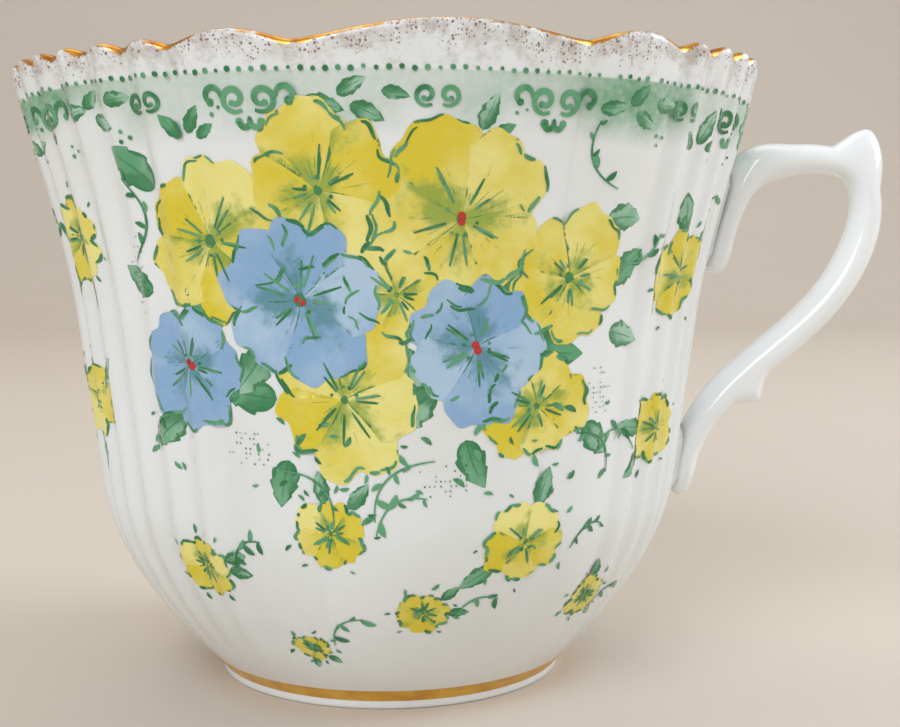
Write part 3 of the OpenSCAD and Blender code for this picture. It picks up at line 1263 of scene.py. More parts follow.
@dataclass
class Handle:
    """The scrolled loop handle: a pad down the wall, a loop with two spurs and a tail on the wall."""

    wall: FlutedWall
    drop: float = 7.8 * MM
    out: float = 18.8 * MM
    tail_z: float = 19.4 * MM
    pad_drop: float = 13.2 * MM
    strap_t: float = 4.0 * MM
    seat_t: float = 3.1 * MM
    strap_w: float = 5.6 * MM
    thumb_spur: float = 3.4 * MM
    lower_spur: float = 1.9 * MM
    seat_gap: float = 0.43 * MM
    pad_until: float = 1.5
    pad_run: float = 2.5
    tail_from: float = 14.5
    tail_run: float = 2.0
    pad_middle: float = 0.66
    pad_neck: float = 0.31
    pad_lean: float = 0.03
    thumb_at: float = 5.85
    lower_at: float = 12.15
    spur_half: float = 0.62
    spur_run: float = 1.05
    spur_power: float = 1.4
    spur_tip: float = 0.12
    spur_rounding: float = 1.5
    shoulder: float = 1.1 * MM
    shoulder_at: float = 2.9
    shoulder_half: float = 1.5
    slim: float = 0.75 * MM
    slim_at: float = 5.8
    slim_half: float = 3.0
    round_over: float = 0.45
    end_rounding: float = 0.6
    end_least: float = 0.03
    probe: float = 0.05
    sides: int = 28
    steps_per_point: int = 14
    loop: tuple[Point, ...] = (
        (0.11, 0.97),
        (0.31, 1.0),
        (0.56, 1.0),
        (0.80, 0.975),
        (0.955, 0.89),
        (1.0, 0.78),
        (0.935, 0.655),
        (0.76, 0.54),
        (0.54, 0.45),
        (0.325, 0.365),
        (0.15, 0.28),
        (0.0, 0.155),
        (0.0, 0.0),
    )

    @property
    def top_z(self) -> float:
        """Height of the centre line at the handle's top."""
        return self.wall.height - self.drop

    def at(self, share: float, z: float) -> Vector:
        """Finds a point of the centre line from its share of the reach and its height."""
        seat = self.seat_gap + self.seat_t / 2
        return Vector((self.wall.outer_r(z) + seat + share * (self.out - seat), z))

    @cached_property
    def points(self) -> list[Vector]:
        """Works out the points of the centre line from the pad's end to the tail's end.

        Returns:
            Radius and height of each point.
        """
        pad = [
            self.at(0.0, self.top_z - self.pad_drop),
            self.at(0.0, self.top_z - self.pad_drop * self.pad_middle),
            self.at(self.pad_lean, self.top_z - self.pad_drop * self.pad_neck),
        ]
        tall = self.top_z - self.tail_z
        return pad + [self.at(share, self.tail_z + up * tall) for share, up in self.loop]

    @property
    def last(self) -> int:
        """Number of the centre line's last point."""
        return len(self.points) - 1

    def curve(self, t: float) -> Vector:
        """Finds a point on the smooth curve through the centre line's points.

        Args:
            t: Place along the line, counted in points.

        Returns:
            The point.
        """
        i = min(int(t), self.last - 1)
        u = t - i
        p0, p1, p2, p3 = (self.points[max(0, min(self.last, i + k))] for k in (-1, 0, 1, 2))
        cubic = 3 * p1 - p0 - 3 * p2 + p3
        return p1 + 0.5 * u * (p2 - p0 + u * (2 * p0 - 5 * p1 + 4 * p2 - p3 + u * cubic))

    def eased(self, t: float) -> Vector:
        """Finds a point on the same curve with its bends evened out.

        Args:
            t: Place along the line, counted in points.

        Returns:
            The point.
        """
        reach = min(self.round_over, t, self.last - t)
        sides = self.curve(t - reach) + self.curve(t + reach)
        return self.curve(t) * 0.5 + sides * 0.25

    def thickness(self, t: float) -> float:
        """Thickness in the handle's own plane, from its seats to its free loop."""
        share = limit(min((t - self.pad_until) / self.pad_run, (self.tail_from - t) / self.tail_run))
        return self.seat_t + (self.strap_t - self.seat_t) * ease(share)

    def spur(self, t: float) -> float:
        """Height of the spurs on the outer side.

        Args:
            t: Place along the line, counted in points.

        Returns:
            The height.
        """
        def bump(place: float, run: float) -> float:
            """Shape of one spur along the centre line, with its run on the side of the tail."""
            half = run if t > place else self.spur_half
            return limit(1 - rounded(limit(abs(t - place) / half), self.spur_tip)) ** self.spur_power

        thumb = self.thumb_spur * bump(self.thumb_at, self.spur_run)
        return thumb + self.lower_spur * bump(self.lower_at, self.spur_half)

    def end_scale(self, t: float) -> float:
        """Share of the full section near the two rounded ends."""
        inside = limit(min(t, self.last - t) / self.end_rounding)
        return math.sqrt(max(self.end_least, 1 - (1 - inside) ** 2))

    def clear_of_wall(self, place: Vector) -> Vector:
        """Moves a point out to the face of the slip where it would sink into the wall.

        Args:
            place: The point, which is changed.

        Returns:
            The same point.
        """
        least = self.wall.outer_r(place.z) + self.seat_gap
        place.x = max(place.x, math.sqrt(max(0.0, least**2 - place.y**2)))
        return place

    def section(self, t: float, ring: list[bmesh.types.BMVert]) -> None:
        """Moves a ring of vertices to the section at t.

        Args:
            t: Place along the line, counted in points.
            ring: The vertices, in order.
        """
        after, before = min(t + self.probe, self.last), max(t - self.probe, 0.0)
        ahead = self.eased(after) - self.eased(before)
        normal = Vector((-ahead.y, ahead.x)).normalized()
        middle = self.eased(t)
        shoulder = self.shoulder * ease(1 - abs(t - self.shoulder_at) / self.shoulder_half)
        slim = self.slim * ease(1 - abs(t - self.slim_at) / self.slim_half)
        size = self.end_scale(t)
        for i, vert in enumerate(ring):
            turn = math.tau * i / len(ring)
            half = self.thickness(t) / 2 - (slim if math.sin(turn) < 0 else 0.0)
            outward = max(0.0, math.sin(turn))
            lift = self.spur(t) * outward**self.spur_rounding + shoulder * outward
            off = size * (half * math.sin(turn) + lift)
            across = size * self.strap_w / 2 * math.cos(turn)
            place = Vector((middle.x + off * normal.x, across, middle.y + off * normal.y))
            vert.co = self.clear_of_wall(place)

    def build(self, finish: bpy.types.Material) -> bpy.types.Object:
        """Builds the handle from rings along its centre line and stands it in for its solid.

        Args:
            finish: Its material.

        Returns:
            The piece.
        """
        mesh = bmesh.new()
        before: list[bmesh.types.BMEdge] = []
        for station in range(self.last * self.steps_per_point + 1):
            made = bmesh.ops.create_circle(mesh, cap_ends=False, radius=self.strap_t, segments=self.sides)
            ring = made["verts"]
            self.section(station / self.steps_per_point, ring)
            edges = list({edge for vert in ring for edge in vert.link_edges})
            if before:
                bmesh.ops.bridge_loops(mesh, edges=before + edges)
            before = edges
        bmesh.ops.holes_fill(mesh, edges=[edge for edge in mesh.edges if edge.is_boundary], sides=self.sides)
        bmesh.ops.recalc_face_normals(mesh, faces=mesh.faces)
        piece = to_piece("glazed_handle", mesh, finish)
        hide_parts("handle")
        return piece


@dataclass
class SlipFillet:
    """Smoothed slip where the handle's pad or tail sits on the wall."""

    wall: FlutedWall
    node: str
    margin: float = 1.1 * MM
    rise: float = 0.95 * MM
    sunk: float = 0.06 * MM
    half_width: float = 2.3 * MM
    pitch: float = 0.22 * MM
    more_above: float = 0.0
    handle_angle: float = 90.0
    skin: float = 0.2 * MM

    def build(self, finish: bpy.types.Material) -> bpy.types.Object:
        """Builds the fillet over its solid's stretch of the wall and stands it in for the solid.

        Args:
            finish: Its material.

        Returns:
            The piece.
        """
        low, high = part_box(self.node)
        half_tall = (high.z - low.z + self.more_above) / 2 + self.half_width / 2
        middle = (low.z + high.z + self.more_above) / 2
        wide, tall = self.half_width + self.margin, half_tall + self.margin
        mesh = bmesh.new()
        bmesh.ops.create_grid(
            mesh, x_segments=int(2 * wide / self.pitch), y_segments=int(2 * tall / self.pitch), size=1.0
        )
        core = half_tall - self.half_width
        for vert in mesh.verts:
            x, y = vert.co.x * wide, vert.co.y * tall
            away = math.hypot(x, max(0.0, abs(y) - core)) - self.half_width
            stand = self.rise * limit(1 - away / self.margin) ** 2 - self.sunk
            z = middle + y
            angle = self.handle_angle + math.degrees(x / self.wall.outer_r(z))
            vert.co = self.wall.point(angle, z, stand)
        bmesh.ops.recalc_face_normals(mesh, faces=mesh.faces)
        bmesh.ops.solidify(mesh, geom=mesh.faces, thickness=self.skin)
        piece = to_piece(f"smoothed_{self.node}", mesh, finish)
        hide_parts(self.node)
        return piece


class Pigment(Enum):
    """The fired colours of the decoration, each one layer of the cup."""

    YELLOW = "yellow_enamel"
    BLUE = "blue_enamel"
    LEAF = "leaf_enamel"
    LINE = "green_print"
    RED = "red_enamel"


class Patch:
    """A place on the wall where a motif is drawn flat, with its own turn."""

    def __init__(self, wall: FlutedWall, angle: float, z: float, turn: float = 0.0) -> None:
        """Keeps the place, and works out once how the drawing lies there.

        Args:
            wall: The fluted wall.
            angle: Degrees from the front towards the handle.
            z: Height above the table.
            turn: Degrees that the drawing is turned by, to the left.
        """
        self.wall = wall
        self.angle = angle
        self.z = z
        self.turn = turn
        self.rise = math.cos(wall.slope(z))
        self.cos, self.sin = math.cos(math.radians(turn)), math.sin(math.radians(turn))

    def on_wall(self, x: float, y: float, skin: float) -> Vector:
        """Lays a point of the flat drawing on the wall.

        Args:
            x: Across the drawing, in metres.
            y: Up the drawing, in metres.
            skin: How far the point stands off the glaze.

        Returns:
            The point on the wall.
        """
        z = self.z + (x * self.sin + y * self.cos) * self.rise
        across = x * self.cos - y * self.sin
        angle = self.angle + math.degrees(across / self.wall.outer_r(z))
        return self.wall.point(angle, z, skin, self.wall.pooled(angle))

    def moved(self, x: float, y: float, turn: float = 0.0) -> "Patch":
        """Makes a patch elsewhere on this one's drawing, turned further.

        Args:
            x: Across this drawing, in metres.
            y: Up this drawing, in metres.
            turn: Degrees that the new drawing is turned further, to the left.

        Returns:
            The new patch.
        """
        place = self.on_wall(x, y, 0.0)
        angle = math.degrees(math.atan2(place.x, -place.y))
        return Patch(self.wall, angle, place.z, self.turn + turn)


SHAPE_VALUES = ("along", "across", "edge", "tint")


@dataclass
class Layer:
    """One fired colour: many flat shapes laid on the wall in one thin mesh."""

    pigment: Pigment
    skin: float
    pitch: float
    thickness: float = 0.008 * MM
    stagger: float = 0.0015 * MM
    levels: int = 6
    most_verts: int = 2500
    least_across: int = 2
    least_along: int = 3

    def __post_init__(self) -> None:
        """Starts with nothing laid."""
        self.put_aside: list[bpy.types.Mesh] = []
        self.laid = 0
        self.open_sheet()

    def open_sheet(self) -> None:
        """Starts an empty mesh whose vertices hold the values that the finish reads."""
        self.mesh = bmesh.new()
        self.values = hold_values(self.mesh, *SHAPE_VALUES)

    def put_sheet_aside(self) -> None:
        """Gives what is laid so far its thickness, and keeps it apart, as a large sheet is slow to add to."""
        bmesh.ops.solidify(self.mesh, geom=self.mesh.faces[:], thickness=self.thickness)
        data = bpy.data.meshes.new("laid_shapes")
        self.mesh.to_mesh(data)
        self.mesh.free()
        self.put_aside.append(data)
        self.open_sheet()

    def next_skin(self) -> float:
        """Finds how far the next shape stands off the glaze, so that shapes that overlap don't coincide.

        Returns:
            The distance, in metres.
        """
        if len(self.mesh.verts) > self.most_verts:
            self.put_sheet_aside()
        self.laid += 1
        return self.skin + self.stagger * (self.laid % self.levels)

    def lay(
        self, patch: Patch, shape: Shape, width: float, length: float, tint: float, columns: int = 0
    ) -> None:
        """Lays one shape on the wall.

        Args:
            patch: Where it is drawn.
            shape: The flat point for a place across, -1 to 1, and along, 0 to 1.
            width: About how wide it is, for its faces and its edge.
            length: About how long it is.
            tint: The shape's own shade, 0 to 1.
            columns: Faces across, or 0 for as many as its width needs.
        """
        skin = self.next_skin()
        across = columns or max(self.least_across, math.ceil(width / self.pitch))
        along = max(self.least_along, math.ceil(length / self.pitch))
        made = bmesh.ops.create_grid(self.mesh, x_segments=across, y_segments=along, size=1.0)
        for vert in made["verts"]:
            u, v = vert.co.x, (vert.co.y + 1) / 2
            vert[self.values["along"]] = v
            vert[self.values["across"]] = u
            vert[self.values["edge"]] = min((1 - abs(u)) * width / 2, (1 - v) * length) / MM
            vert[self.values["tint"]] = tint
            vert.co = patch.on_wall(*shape(u, v), skin)

    def dot(self, patch: Patch, x: float, y: float, radius: float, tint: float, sides: int = 7) -> None:
        """Lays one small round dot on the wall.

        Args:
            patch: Where it is drawn.
            x: Across the drawing, in metres.
            y: Up the drawing, in metres.
            radius: Its radius.
            tint: Its own shade, 0 to 1.
            sides: Its corners.
        """
        skin = self.next_skin()
        made = bmesh.ops.create_circle(self.mesh, cap_ends=True, radius=radius, segments=sides)
        for vert in made["verts"]:
            vert[self.values["tint"]] = tint
            vert.co = patch.on_wall(x + vert.co.x, y + vert.co.y, skin)

    def finish(self, material: bpy.types.Material) -> bpy.types.Object:
        """Joins all that was laid and makes it a piece.

        Args:
            material: Its finish.

        Returns:
            The piece.
        """
        self.put_sheet_aside()
        for data in self.put_aside:
            self.mesh.from_mesh(data)
            bpy.data.meshes.remove(data)
        return to_piece(self.pigment.value, self.mesh, material)


def volute(middle: Point, radius: float, start: float, turns: float, inner: float) -> Path:
    """Makes a path that winds in towards a point, as a scroll does.

    Args:
        middle: The point that it winds round.
        radius: How far off it starts.
        start: Where it starts, in degrees from the right.
        turns: How many turns it takes, to the left where positive.
        inner: Share of the radius that it ends on.

    Returns:
        The path.
    """
    def path(t: float) -> Point:
        """Finds the point at a share of the path.

        Args:
            t: The share, 0 to 1.

        Returns:
            The flat point.
        """
        turn = math.radians(start + FULL_TURN * turns * t)
        reach = radius * (1 - (1 - inner) * t)
        return (middle[0] + reach * math.cos(turn), middle[1] + reach * math.sin(turn))

    return path


def stroke(path: Path, width: float, blunt: float) -> Shape:
    """Makes the shape of a brush stroke along a path, thin at both ends.

    Args:
        path: The path that it follows.
        width: Its width in the middle.
        blunt: How little it thins at its ends, 0 for points.

    Returns:
        The shape.
    """
    probe = 0.02
    fullness = 0.8

    def shape(u: float, v: float) -> Point:
        """Finds the point across and along the stroke.

        Args:
            u: Place across, -1 to 1.
            v: Place along, 0 to 1.

        Returns:
            The flat point, in metres.
        """
        x, y = path(v)
        ahead, back = path(min(1.0, v + probe)), path(max(0.0, v - probe))
        dx, dy = ahead[0] - back[0], ahead[1] - back[1]
        size = math.hypot(dx, dy) or 1.0
        half = width / 2 * math.sin(math.pi * (blunt + (1 - 2 * blunt) * v)) ** fullness
        return (x + u * half * dy / size, y - u * half * dx / size)

    return shape


def petal(length: float, spread: float, notch: float, ruffle: float, phase: float) -> Shape:
    """Makes the shape of a broad petal that fans out from its blossom's middle.

    Args:
        length: From the middle to the tip.
        spread: Half of the petal's fan, in degrees.
        notch: Depth of the notch in its tip, as a share of its length.
        ruffle: Waves of its edge, as a share of its length.
        phase: Where those waves start.

    Returns:
        The shape.
    """
    core = 0.05 * length
    foot_fan = 0.88
    side_droop = 0.3
    droop_power = 2.4
    notch_half = 0.28
    wave = 6.0
    ripple = 15.0
    ripple_share = 0.6

    def shape(u: float, v: float) -> Point:
        """Finds the point across and along the petal.

        Args:
            u: Place across, -1 to 1.
            v: Place along, 0 to 1.

        Returns:
            The flat point, in metres.
        """
        turn = math.radians(spread) * u * (foot_fan + (1 - foot_fan) * v)
        dip = notch * math.exp(-((u / notch_half) ** 2))
        ripples = ripple_share * ruffle * math.sin(ripple * u + 2 * phase)
        reach = length * (1 - side_droop * abs(u) ** droop_power) * (1 - dip)
        reach *= 1 + ruffle * math.sin(wave * u + phase) + ripples
        r = core + (reach - core) * v
        return (r * math.sin(turn), r * math.cos(turn))

    return shape


def leaf(length: float, width: float, bend: float, teeth: int, bite: float) -> Shape:
    """Makes the shape of a pointed leaf with a toothed edge and a bent middle.

    Args:
        length: From its foot to its tip.
        width: At its widest.
        bend: How far its tip leans to one side.
        teeth: Teeth down each side.
        bite: Depth of the teeth, as a share of the width.

    Returns:
        The shape.
    """
    widest_low = 0.75
    fullness = 0.8

    def shape(u: float, v: float) -> Point:
        """Finds the point across and along the leaf.

        Args:
            u: Place across, -1 to 1.
            v: Place along, 0 to 1.

        Returns:
            The flat point, in metres.
        """
        half = width / 2 * math.sin(math.pi * v**widest_low) ** fullness
        half *= 1 - bite * ((v * teeth) % 1.0)
        lean = 2 * bend * v / length
        size = math.hypot(1.0, lean)
        return (bend * v * v + u * half / size, length * v - u * half * lean / size)

    return shape


@dataclass
class Decoration:
    """Border under the rim, flower sprays front and back, and blossoms scattered round them.

    Tables of places and spans of lengths are in millimetres, and turns are in degrees. Other plain
    numbers are counts, chances, or shares of the size of the motif that they belong to.
    """

    wall: FlutedWall
    seed: int = 17
    dot_pitch: float = 1.12 * MM
    line_dot_r: float = 0.25 * MM
    line_gaps: float = 0.06
    line_wobble: Span = (-0.1, 0.1)
    repeats: int = 9
    border_start: float = -18.0
    spray_turn: float = -3.0
    spray_half: float = 33.0
    spray_z: float = 43.5 * MM
    # Middle, radius, start, turns and inner share of each volute of a scroll
    scrolls: tuple[tuple[Point, float, float, float, float], ...] = (
        ((1.05, 0.1), 1.0, -125.0, 1.2, 0.35),
        ((2.75, 0.35), 0.7, 190.0, -0.72, 0.7),
        ((0.45, -1.55), 0.5, 140.0, 0.62, 0.7),
    )
    scroll_width: float = 0.46
    scroll_dot: float = 0.3
    scroll_dot_at: float = 0.98
    scroll_fineness: float = 2.0
    # Degrees along a repeat, drop below the line, size and pairs of volutes
    border_scrolls: tuple[tuple[float, float, float, int], ...] = ((0.0, 2.6, 1.25, 3), (24.0, 2.4, 1.0, 1))
    # Degrees along a repeat, drop below the line, turn and length
    border_leaves: tuple[Row, ...] = (
        (7.0, 2.8, -95, 3.4),
        (11.5, 2.3, -60, 3.0),
        (13.0, 3.2, -115, 3.6),
        (17.0, 2.0, -85, 2.8),
        (29.0, 5.6, 55, 3.0),
        (30.0, 5.2, -20, 3.4),
        (31.5, 5.6, -75, 2.6),
    )
    border_leaf_turn: Span = (-12.0, 12.0)
    border_leaf_spread: Span = (0.85, 1.15)
    border_leaf_width: float = 0.55
    border_leaf_bend: Span = (-0.6, 0.6)
    # Degrees along a repeat and drop below the line
    border_triads: tuple[Point, ...] = ((-6.0, 6.3), (5.0, 6.0), (19.0, 5.2), (35.0, 3.2))
    triad_clear: float = 5.0
    triad_turn: Span = (0.0, 120.0)
    # Across and up from the spray's middle, and turn
    spray_leaves: tuple[Place, ...] = (
        (-23, 1, 75), (-22, 11, 45), (24, 8, -70), (25, -3, -100), (9, -13, -165), (-8, -15, 165),
        (-20, -11, 130), (22, -12, -140), (1, 5, 20), (-10, -4, 160), (15, -5, -80), (3, -4, 200),
        (-14, 0, 110), (12, 1, -40), (1, 9, 170), (14, 4, 150), (-11, 9, 150), (-2, 2, -60), (4, 0, -10),
        (6, -8, 120), (-9, -9, 80), (17, -4, 20), (-17, 0, 20), (25, 2, -45), (-13, -9, 60),
    )
    spray_leaf_turn: Span = (-14.0, 14.0)
    spray_leaf_length: Span = (4.6, 6.6)
    spray_leaf_width: float = 0.62
    spray_leaf_bend: Span = (-1.2, 1.2)
    # Across and up from the spray's middle, radius, colour and red dots
    spray_blossoms: tuple[tuple[float, float, float, Pigment, int], ...] = (
        (-15.5, 6.0, 8.6, Pigment.YELLOW, 0),
        (8.5, 8.0, 9.6, Pigment.YELLOW, 2),
        (20.0, 2.5, 7.6, Pigment.YELLOW, 0),
        (-2.5, -9.0, 8.0, Pigment.YELLOW, 0),
        (-4.5, 10.5, 8.0, Pigment.YELLOW, 0),
        (16.5, -10.0, 6.2, Pigment.YELLOW, 0),
        (2.5, 1.0, 5.0, Pigment.YELLOW, 0),
        (-6.5, 0.5, 8.4, Pigment.BLUE, 2),
        (10.0, -4.0, 8.0, Pigment.BLUE, 2),
        (-18.5, -6.0, 6.6, Pigment.BLUE, 2),
    )
    # Across and up from the spray's middle, turn and side
    spray_tendrils: tuple[Row, ...] = (
        (-20, -11, 170, 1.0),
        (-9, -16, 185, -1.0),
        (6, -15, 175, 1.0),
        (21, -13, 190, -1.0),
        (-25, 4, 35, 1.0),
        (27, 4, -20, 1.0),
        (25, 11, -10, -1.0),
    )
    spray_tendril_reach: Span = (4.5, 7.0)
    spray_dashes: int = 40
    spray_dash_x: Span = (-25.0, 25.0)
    spray_dash_y: Span = (-19.0, -10.0)
    spray_dash_length: Span = (0.7, 1.5)
    # Across and up from the spray's middle, half width and half height
    spray_stipples: tuple[Row, ...] = (
        (-12, -14, 4, 3),
        (7, -17, 5, 2.5),
        (24, -9, 2.5, 4),
        (-25, 3, 2.5, 5),
    )
    # Degrees from the front or back, height and radius
    scattered: tuple[Place, ...] = (
        (-10, 21.5, 4.0), (24, 20.0, 5.0), (-36, 17.0, 3.6), (6, 13.0, 3.0), (44, 12.5, 3.0),
        (-17, 8.5, 2.2), (56, 46.0, 5.6), (55, 30.0, 4.6), (-60, 50.0, 5.0), (-66, 33.0, 5.0),
    )
    small_leaves: int = 2
    small_leaf_at: float = 0.8
    small_leaf_length: float = 0.8
    small_leaf_width: float = 0.45
    small_petals: tuple[int, ...] = (5, 6)
    small_tendril_at: float = 1.1
    small_tendril_lean: Span = (60.0, 120.0)
    small_tendril_reach: Span = (3.6, 5.6)
    round_dashes: int = 7
    round_dash_at: float = 1.04
    round_dash_turn: Span = (-15.0, 15.0)
    round_dash_lean: Span = (-50.0, 50.0)
    round_dash_length: Span = (0.5, 1.0)
    dot_r: float = 0.2 * MM
    dot_spread: Span = (0.75, 1.2)
    fine_dot_r: float = 0.09 * MM
    fine_gap: float = 0.5 * MM
    fine_crowd: float = 0.85
    fine_jitter: Span = (-0.08, 0.08)
    eye_share: float = 0.09
    eye_sides: int = 9
    eye_dots_at: float = 0.16
    red_gap: float = 0.55
    red_drop: float = 0.3
    red_aside: Span = (-0.2, 0.2)
    red_size: Span = (0.3, 0.42)
    stroke_columns: int = 2
    dash_width: float = 0.42
    dash_bow: float = 0.2
    dash_blunt: float = 0.04
    stem_width: float = 0.22 * MM
    stem_bend: Point = (0.9, 0.15)
    stem_end: Point = (0.75, 0.95)
    stem_length: float = 1.4
    stem_dashes: int = 5
    stem_dash_step: float = 5.2
    stem_dash_turn: Span = (20.0, 80.0)
    stem_dash_length: Span = (0.8, 1.7)
    petal_ticks: int = 4
    tick_start: Span = (-1.0, 0.7)
    tick_run: Span = (0.14, 0.44)
    tick_out: Span = (0.93, 1.0)
    tick_width: Span = (0.2, 0.44)
    tick_least: float = 0.6 * MM
    petal_throats: int = 2
    throat_side: Span = (-0.55, 0.55)
    throat_end: Span = (0.3, 0.58)
    throat_width: float = 0.26 * MM
    throat_foot: float = 0.12
    petal_fan: float = 0.6
    petal_ruffle: float = 0.035
    petal_spread: Span = (0.82, 1.08)
    petal_notch: Span = (0.02, 0.16)
    petal_width: float = 0.95
    blossom_turn: Span = (0.0, 72.0)
    any_turn: Span = (0.0, FULL_TURN)
    leaf_teeth: tuple[int, ...] = (3, 4)
    leaf_bite: float = 0.22

    def __post_init__(self) -> None:
        """Opens one layer for each colour, each a little further from the glaze."""
        self.chance = random.Random(self.seed)
        sheets = {
            Pigment.LEAF: (0.026 * MM, 0.25 * MM),
            Pigment.YELLOW: (0.048 * MM, 0.44 * MM),
            Pigment.BLUE: (0.080 * MM, 0.36 * MM),
            Pigment.LINE: (0.102 * MM, 0.36 * MM),
            Pigment.RED: (0.118 * MM, 0.36 * MM),
        }
        self.layers = {pigment: Layer(pigment, skin, pitch) for pigment, (skin, pitch) in sheets.items()}

    def within(self, span: Span) -> float:
        """Draws a value by chance from a span."""
        return self.chance.uniform(*span)

    def under_line(self, angle: float, drop: float, turn: float = 0.0) -> Patch:
        """Finds the place at an angle and so many millimetres under the dotted line."""
        return Patch(self.wall, angle, self.wall.line_z - drop * MM, turn)

    def draw(self, patch: Patch, path: Path, width: float, length: float, blunt: float = 0.15) -> None:
        """Draws one printed stroke."""
        shape = stroke(path, width, blunt)
        self.layers[Pigment.LINE].lay(patch, shape, width, length, self.chance.random(), self.stroke_columns)

    def dots(self, patch: Patch, places: Iterable[Point], radius: float) -> None:
        """Prints small dots at places of a patch.

        Args:
            patch: Where they are drawn.
            places: Each dot's place on the drawing.
            radius: Their usual radius.
        """
        for x, y in places:
            size = radius * self.within(self.dot_spread)
            self.layers[Pigment.LINE].dot(patch, x, y, size, self.chance.random())

    def triad(self, patch: Patch, gap: float = 1.0 * MM) -> None:
        """Prints three dots in a small triangle."""
        self.dots(patch, [(0.0, gap / 2), (-gap / 2, -gap / 3), (gap / 2, -gap / 3)], self.dot_r)

    def lay_leaf(self, patch: Patch, length: float, width: float, bend: float = 0.0) -> None:
        """Lays one leaf."""
        shape = leaf(length, width, bend, self.chance.choice(self.leaf_teeth), self.leaf_bite)
        self.layers[Pigment.LEAF].lay(patch, shape, width, length, self.chance.random())

    def dash(self, patch: Patch, length: float) -> None:
        """Prints one short leaf-like dash."""
        path = bezier((0.0, 0.0), (self.dash_bow * length, length / 2), (0.0, length))
        self.draw(patch, path, self.dash_width * length, length, self.dash_blunt)

    def ticks(self, patch: Patch, shape: Shape, length: float) -> None:
        """Draws a petal's broken outline and the strokes in its throat.

        Args:
            patch: Where the petal is drawn.
            shape: The petal's shape.
            length: Its length.
        """
        for _ in range(self.petal_ticks):
            start = self.within(self.tick_start)
            run = self.within(self.tick_run)
            out = self.within(self.tick_out)

            def outline(t: float, start: float = start, run: float = run, out: float = out) -> Point:
                """Follows the petal's edge."""
                return shape(min(1.0, start + run * t), out)

            width = self.within(self.tick_width) * MM
            self.draw(patch, outline, width, run * length / 2 + self.tick_least)
        for _ in range(self.petal_throats):
            side = self.within(self.throat_side)
            end = self.within(self.throat_end)

            def throat(t: float, side: float = side, end: float = end) -> Point:
                """Runs out from the blossom's middle."""
                return shape(side, self.throat_foot + (end - self.throat_foot) * t)

            self.draw(patch, throat, self.throat_width, end * length)

    def blossom(self, patch: Patch, radius: float, pigment: Pigment, petals: int = 5, reds: int = 0) -> None:
        """Lays one open blossom: petals, their outlines, and the dots at its middle.

        Args:
            patch: Where its middle is.
            radius: From its middle to its petals' tips.
            pigment: The colour of its petals.
            petals: How many it has.
            reds: How many red dots are at its middle.
        """
        spread = self.petal_fan * FULL_TURN / petals
        for i in range(petals):
            turned = Patch(patch.wall, patch.angle, patch.z, patch.turn + FULL_TURN * i / petals)
            length = radius * self.within(self.petal_spread)
            notch = self.within(self.petal_notch)
            phase = self.chance.uniform(0.0, math.tau)
            shape = petal(length, spread, notch, self.petal_ruffle, phase)
            width = 2 * length * math.sin(math.radians(spread)) * self.petal_width
            self.layers[pigment].lay(turned, shape, width, length, self.chance.random())
            self.ticks(turned, shape, length)
        eye_r = self.eye_share * radius
        self.layers[pigment].dot(patch, 0.0, 0.0, eye_r, self.chance.random(), self.eye_sides)
        reach = self.eye_dots_at * radius
        turns = [math.tau * self.chance.random() for _ in range(petals)]
        self.dots(patch, [(reach * math.cos(turn), reach * math.sin(turn)) for turn in turns], self.dot_r)
        for i in range(reds):
            place = (self.within(self.red_aside) * MM, (self.red_gap * i - self.red_drop) * MM)
            size = self.within(self.red_size) * MM
            self.layers[Pigment.RED].dot(patch, *place, size, self.chance.random(), self.eye_sides)

    def tendril(self, patch: Patch, reach: float, side: float) -> None:
        """Draws a thin curling stem with dashes on alternate sides.

        Args:
            patch: Where it starts.
            reach: About how far it goes.
            side: 1 to curl to the right, -1 to the left.
        """
        bend, end = ((x * reach * side, y * reach) for x, y in (self.stem_bend, self.stem_end))
        path = bezier((0.0, 0.0), bend, end)
        self.draw(patch, path, self.stem_width, self.stem_length * reach)
        for i in range(1, self.stem_dashes + 1):
            x, y = path(i / self.stem_dash_step)
            turn = self.within(self.stem_dash_turn) * (-1 if i % 2 else 1)
            self.dash(patch.moved(x, y, turn), self.within(self.stem_dash_length) * MM)

    def scroll(self, patch: Patch, size: float, parts: int) -> None:
        """Draws plain C-scrolls with round ends, in pairs that mirror each other.

        Args:
            patch: Where the middle of the pairs is.
            size: The unit that the scrolls are drawn in.
            parts: How many pairs are drawn.
        """
        for side in (-1.0, 1.0):
            for place, radius, start, turns, inner in self.scrolls[:parts]:
                middle = (side * place[0] * size, place[1] * size)
                first = start if side > 0 else HALF_TURN - start
                path = volute(middle, radius * size, first, side * turns, inner)
                length = self.scroll_fineness * math.tau * radius * abs(turns) * size
                self.draw(patch, path, self.scroll_width * size, length)
                self.dots(patch, [path(self.scroll_dot_at)], self.scroll_dot * size)

